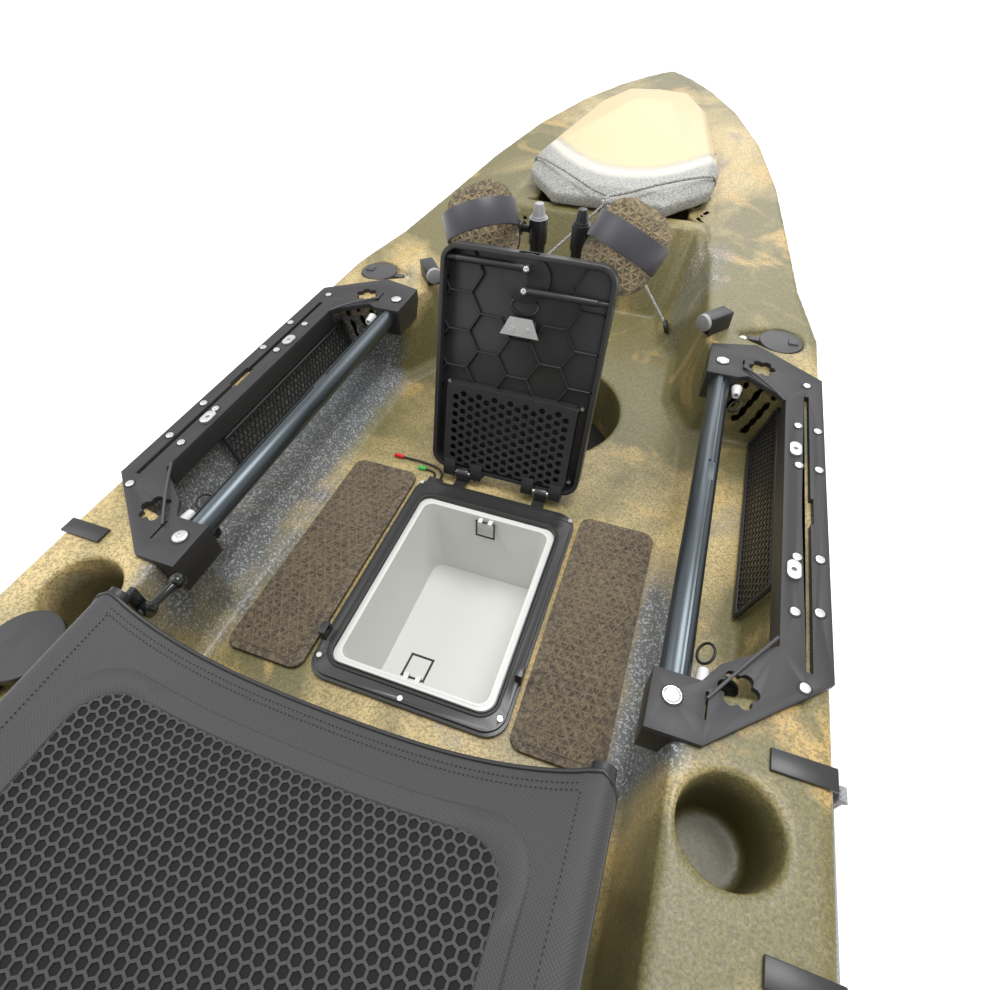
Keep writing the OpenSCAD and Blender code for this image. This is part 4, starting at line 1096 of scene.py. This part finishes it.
def sling_piece(name, body, place, columns, rows, node, border):
    """A stretched sheet with a woven border round its hexagonal mesh."""
    sheet = sheet_grid(name, columns, rows, place)
    wide = columns + 1
    pins = [i for i in range(len(sheet.data.vertices)) if abs(2 * (i % wide) / columns - 1) > 0.84]
    drop(sheet, pins, 0.006)
    points = [v.co.copy() for v in sheet.data.vertices]

    def at(u, v, lift=0.0):
        c, r = u * columns, v * rows
        c0, r0 = min(int(c), columns - 1), min(int(r), rows - 1)
        fc, fr = c - c0, r - r0
        a, b = points[r0 * wide + c0], points[r0 * wide + c0 + 1]
        d, e = points[(r0 + 1) * wide + c0], points[(r0 + 1) * wide + c0 + 1]
        spot = a.lerp(b, fc).lerp(d.lerp(e, fc), fr)
        n = (b - a).cross(d - a).normalized()
        if n.z < 0:
            n = -n
        return spot + n * lift

    across = [points[rows // 2 * wide + c] for c in range(columns + 1)]
    along = [points[r * wide + columns // 2] for r in range(rows + 1)]
    flat_w = sum((q - p).length for p, q in zip(across, across[1:]))
    flat_l = sum((q - p).length for p, q in zip(along, along[1:]))
    area = sum(p.area for p in sheet.data.polygons)
    modifier(sheet, "SOLIDIFY", thickness=0.0028, offset=1.0)
    done(sheet, name, body, ["sling_backing", "woven_vinyl"], "seat_mesh", [node], 60)
    uv = sheet.data.uv_layers.active.data
    for p in sheet.data.polygons:
        u = sum(uv[i].uv[0] for i in p.loop_indices) / p.loop_total
        v = sum(uv[i].uv[1] for i in p.loop_indices) / p.loop_total
        p.material_index = int(not within(u, v, flat_w, flat_l, border, -0.004))
    # the open mesh: hexagonal holes over the near-black backing, dark as the sling's own colour and as painted shade
    # in the holes
    net = hex_panel(flat_w, flat_l, 0.0098, 0.0013, 0.0012,
                    lambda x, y: within(x / flat_w + 0.5, y / flat_l + 0.5, flat_w, flat_l, border, -0.003))
    for v in net.data.vertices:
        v.co = at(v.co.x / flat_w + 0.5, v.co.y / flat_l + 0.5, 0.0004 + v.co.z)
    done(net, name + "_net", body, "spacer_mesh", "seat_mesh", smooth=30)
    # a smooth band hides the cut edge of the mesh
    low_u, high_u, low_v, high_v, radius = border
    ring = []
    for cu, cv, start in ((high_u, high_v, 0), (low_u, high_v, 90), (low_u, low_v, 180), (high_u, low_v, 270)):
        for k in range(9):
            a = radians(start + k * 11.25)
            su, sv = (-1 if cu > 0.5 else 1), (-1 if cv > 0.5 else 1)
            ring.append((cu + (su + cos(a)) * radius / flat_w, cv + (sv + sin(a)) * radius / flat_l))
    fine = [tuple(p + (q - p) * k / 10 for p, q in zip(a, b))
            for a, b in zip(ring, ring[1:] + ring[:1]) for k in range(10)]
    rings = [[at(cu + (0.5 - cu) * grow / (0.4 * flat_w), cv + (0.5 - cv) * grow / (0.4 * flat_l), lift)
              for cu, cv in fine]
             for grow, lift in ((-0.008, 0.0001), (-0.006, 0.0018), (0.010, 0.0018), (0.012, 0.0001))]
    n = len(fine)
    faces = [(r * n + k, r * n + (k + 1) % n, (r + 1) * n + (k + 1) % n, (r + 1) * n + k)
             for r in range(3) for k in range(n)]
    band = from_mesh("band", [p for r in rings for p in r], faces)
    outward(band)
    done(band, name + "_band", body, "woven_vinyl", "seat_mesh", smooth=40)
    wide_cut, long_cut = round(flat_w, 3), round(flat_l, 3)
    return sheet, at, wide_cut, long_cut, int(min(area, wide_cut * long_cut) * 10000) / 10000


def within(u, v, width, length, border, grow):
    """Whether a spot of a sheet lies in its mesh panel, a rectangle with round corners."""
    low_u, high_u, low_v, high_v, radius = border
    half_w, half_l = (high_u - low_u) * width / 2 + grow, (high_v - low_v) * length / 2 + grow
    x, y = (u - (low_u + high_u) / 2) * width, (v - (low_v + high_v) / 2) * length
    return in_round_box(x, y, half_w, half_l, radius)


def stitches(at, line, pitch, lift, radius=0.0005):
    """Short raised stitches along a line of (u, v) points."""
    path = [at(u, v, lift) for u, v in line]
    run = [0.0]
    for a, b in zip(path, path[1:]):
        run.append(run[-1] + (b - a).length)
    count = int(run[-1] / pitch)

    def spot(d):
        for k in range(len(path) - 1):
            if run[k + 1] >= d:
                return path[k].lerp(path[k + 1], (d - run[k]) / max(run[k + 1] - run[k], 1e-9))
        return path[-1]
    verts, faces = [], []
    for k in range(count):
        a, b = spot(k * pitch), spot(k * pitch + pitch * 0.62)
        d = (b - a).normalized()
        side = d.cross(Vector((0, 0, 1)))
        side = side.normalized() * radius if side.length > 1e-6 else Vector((radius, 0, 0))
        top = d.cross(side).normalized() * radius
        if top.z < 0:
            top = -top
        m = (a + b) / 2
        n = len(verts)
        verts += [a, b, m + side - top, m - side - top, m + side * 0.8 + top, m - side * 0.8 + top]
        faces += [tuple(n + i for i in face) for face in
                  ((0, 2, 4), (0, 4, 5), (0, 5, 3), (0, 3, 2), (1, 4, 2), (1, 5, 4), (1, 3, 5), (1, 2, 3))]
    return from_mesh("stitch", verts, faces)


class KAYAK_OT_seat(bpy.types.Operator):
    """Makes the seat and backrest: their tubes, mesh slings, borders, piping and lever."""
    bl_idname = "kayak.seat"
    bl_label = "Seat"

    def execute(self, context):
        softened("seat_frame", "seat", "seat_alloy", "seat_tube", 0.001, 2)
        softened("backrest_frame", "backrest", "seat_alloy", "seat_tube", 0.001, 2)
        softened("seat_lever", "seat_lever", "gloss_black", "black_plastic", 0.0008)

        seat, at, w, l, area = sling_piece("seat_sling_mesh", "seat", seat_point, 96, 78, "seat_sling",
                                           (0.125, 0.875, 0.115, 0.94, 0.045))
        back, back_at, bw, bl, barea = sling_piece("backrest_sling_mesh", "backrest", back_point, 80, 72,
                                                   "backrest_sling", (0.09, 0.91, 0.07, 0.92, 0.040))
        front = [(k / 60, 0.0) for k in range(61)]
        rim = front + [(1.0, k / 40) for k in range(1, 41)]
        rim = [(0.0, 1 - k / 40) for k in range(40)] + rim
        piping = tube("piping", [at(u, v) for u, v in rim], 0.0022, sides=8)
        done(piping, "seat_piping", "seat", "satin_black", "seat_mesh")
        back_rim = [(0.0, k / 40) for k in range(40)] + [(k / 50, 1.0) for k in range(51)]
        back_rim += [(1.0, 1 - k / 40) for k in range(1, 41)]
        piping = tube("piping", [back_at(u, v) for u, v in back_rim], 0.0022, sides=8)
        done(piping, "backrest_piping", "backrest", "satin_black", "seat_mesh")
        lines = [[(0.07 + 0.86 * k / 80, 0.024) for k in range(81)],
                 [(0.07 + 0.86 * k / 80, 0.038) for k in range(81)],
                 [(0.075, 0.04 + 0.90 * k / 60) for k in range(61)],
                 [(0.925, 0.04 + 0.90 * k / 60) for k in range(61)],
                 [(0.07 + 0.86 * k / 80, 0.965) for k in range(81)]]
        seams = join([stitches(at, line, 0.0042, 0.0006) for line in lines])
        done(seams, "seat_stitching", "seat", "stitch_thread", "seat_mesh", smooth=0)
        return {"FINISHED"}


# ---------------------------------------------------------------- bow hatch, cords, handles, steering
EYE_LEAN = radians(68)


class KAYAK_OT_bow(bpy.types.Operator):
    """Makes the bow hatch cover and the elastic cord that holds it down."""
    bl_idname = "kayak.bow"
    bl_label = "Bow hatch"

    def execute(self, context):
        cover = cad_copy("bow_hatch", 0)
        cover.data.remesh_voxel_size = 0.0042
        alone(cover)
        bpy.ops.object.voxel_remesh()
        modifier(cover, "SMOOTH", factor=0.5, iterations=14)
        modifier(cover, "DECIMATE", ratio=0.5)
        soft_skin(cover, "bow_hatch_cover", "bow_hatch", "cover_shell", "hull", ["bow_hatch"])
        knot = Vector((0, 0.866, 0.432))
        hold, tie = [], []
        for side in (-1, 1):
            line = [knot + Vector((side * 0.004, 0.006, 0))]
            line += [(side * x, y, z) for x, y, z in (
                (0.040, 0.880, 0.440), (0.110, 0.925, 0.4515), (0.170, 0.980, 0.4515), (0.206, 1.018, 0.446),
                (0.2145, 1.030, 0.438), (0.2195, 1.038, 0.423))]
            hold.append(tube("cord", smooth_line(line, 6), 0.0029, sides=8))
            wall_eye = Vector((side * 0.199, 0.690, 0.248))
            start, end = knot + Vector((side * 0.001, -0.010, -0.010)), wall_eye + Vector((-side * 0.004, 0, 0.001))
            slack = [start.lerp(end, k / 20) - Vector((0, 0, 0.004 * sin(pi * k / 20))) for k in range(21)]
            tie.append(tube("cord", slack, 0.0029, sides=8))
        hook = [knot + Vector((x, -0.009 - 0.002 * cos(x * 300), -0.009 + 0.003 * sin(x * 400)))
                for x in (-0.011, -0.006, 0, 0.006, 0.011)]
        tie.append(tube("cord", smooth_line(hook, 5), 0.0055, sides=8))
        done(join(hold), "bow_cord", "bow_hatch", "shock_cord", "shock_cord", ["bow_hatch_cord"])
        done(join(tie), "bow_tie_cord", "hull", "shock_cord", "shock_cord", ["tie_down_cord"])
        eyes = []
        for side in (-1, 1):
            turn = (0, side * EYE_LEAN, 0)
            at = Vector((side * 0.195, 0.690, 0.2478))
            eyes.append(barrel(0.0150, 0.005, at, turn, 36, 0.0012))
            rest_all()
            bpy.ops.mesh.primitive_torus_add(major_radius=0.0135, minor_radius=0.0022, rotation=turn,
                                             location=at - Vector((side * 0.002, 0, -0.0008)),
                                             major_segments=36, minor_segments=10)
            eyes.append(context.object)
        done(join(eyes), "pad_eye_rings", "hull", "satin_black", "black_plastic")
        faces = [barrel(0.0115, 0.004, (side * 0.1925, 0.690, 0.2488), (0, side * EYE_LEAN, 0), 36, 0.001)
                 for side in (-1, 1)]
        done(join(faces), "pad_eye_faces", "hull", "grey_plastic", "grey_plastic")
        return {"FINISHED"}


class KAYAK_OT_fittings(bpy.types.Operator):
    """Makes the line handles, the deck caps, the carry handles, the steering and the rudder."""
    bl_idname = "kayak.fittings"
    bl_label = "Fittings"

    def execute(self, context):
        for node, body, finish, slot, *edge in (
                ("line_handle_holders", "hull", "satin_black", "black_plastic", 0.002),
                ("carry_handle_mounts", "hull", "satin_black", "black_plastic", 0.0012),
                ("line_handle_left", "", "grey_plastic", "grey_plastic", 0.0012),
                ("deck_cap_left", "", "soft_rubber", "cap_rubber", 0.002, 3),
                ("carry_handle_left", "", "grey_webbing", "webbing", 0.0015),
                ("line_handle_right", "", "grey_plastic", "grey_plastic", 0.0012),
                ("deck_cap_right", "", "soft_rubber", "cap_rubber", 0.002, 3),
                ("carry_handle_right", "", "grey_webbing", "webbing", 0.0015),
                ("steering_handle", "", "steering_black", "soft_black", 0.0035, 4),
                ("rudder_bracket", "hull", "satin_black", "black_plastic", 0.0012),
                ("rudder_head", "", "satin_black", "black_plastic", 0.0012),
                ("rudder_blade", "", "satin_black", "rudder", 0.0025),
                ("bail_front", "", "black_wire", "wire", 0.0003),
                ("bail_rear", "", "black_wire", "wire", 0.0003)):
            softened(node, body or node, finish, slot, *edge)
        paint("deck_screws", "bright_steel")
        return {"FINISHED"}


class KAYAK_PT_build(bpy.types.Panel):
    """Lists the kayak's pieces and the sizes that can be changed."""
    bl_idname = "KAYAK_PT_build"
    bl_label = "Kayak"
    bl_space_type = "VIEW_3D"
    bl_region_type = "UI"
    bl_category = "Kayak"

    def draw(self, context):
        for name in KAYAK_PG_looks.__annotations__:
            self.layout.prop(context.scene.kayak_looks, name)
        for step in STEPS:
            self.layout.operator("kayak." + step)


CLASSES = [KAYAK_PG_looks, KAYAK_PT_build, KAYAK_OT_stage, KAYAK_OT_leads, KAYAK_OT_hull, KAYAK_OT_side_gear,
           KAYAK_OT_hatch, KAYAK_OT_pads, KAYAK_OT_drive, KAYAK_OT_seat, KAYAK_OT_bow, KAYAK_OT_fittings]
STEPS = ["stage", "leads", "hull", "side_gear", "hatch", "pads", "drive", "seat", "bow", "fittings"]


def register():
    for c in CLASSES:
        bpy.utils.register_class(c)
    bpy.types.Scene.kayak_looks = PointerProperty(type=KAYAK_PG_looks)


def unregister():
    del bpy.types.Scene.kayak_looks
    for c in reversed(CLASSES):
        bpy.utils.unregister_class(c)


def main():
    register()
    for step in STEPS:
        getattr(bpy.ops.kayak, step)()


if __name__ == "__main__":
    main()
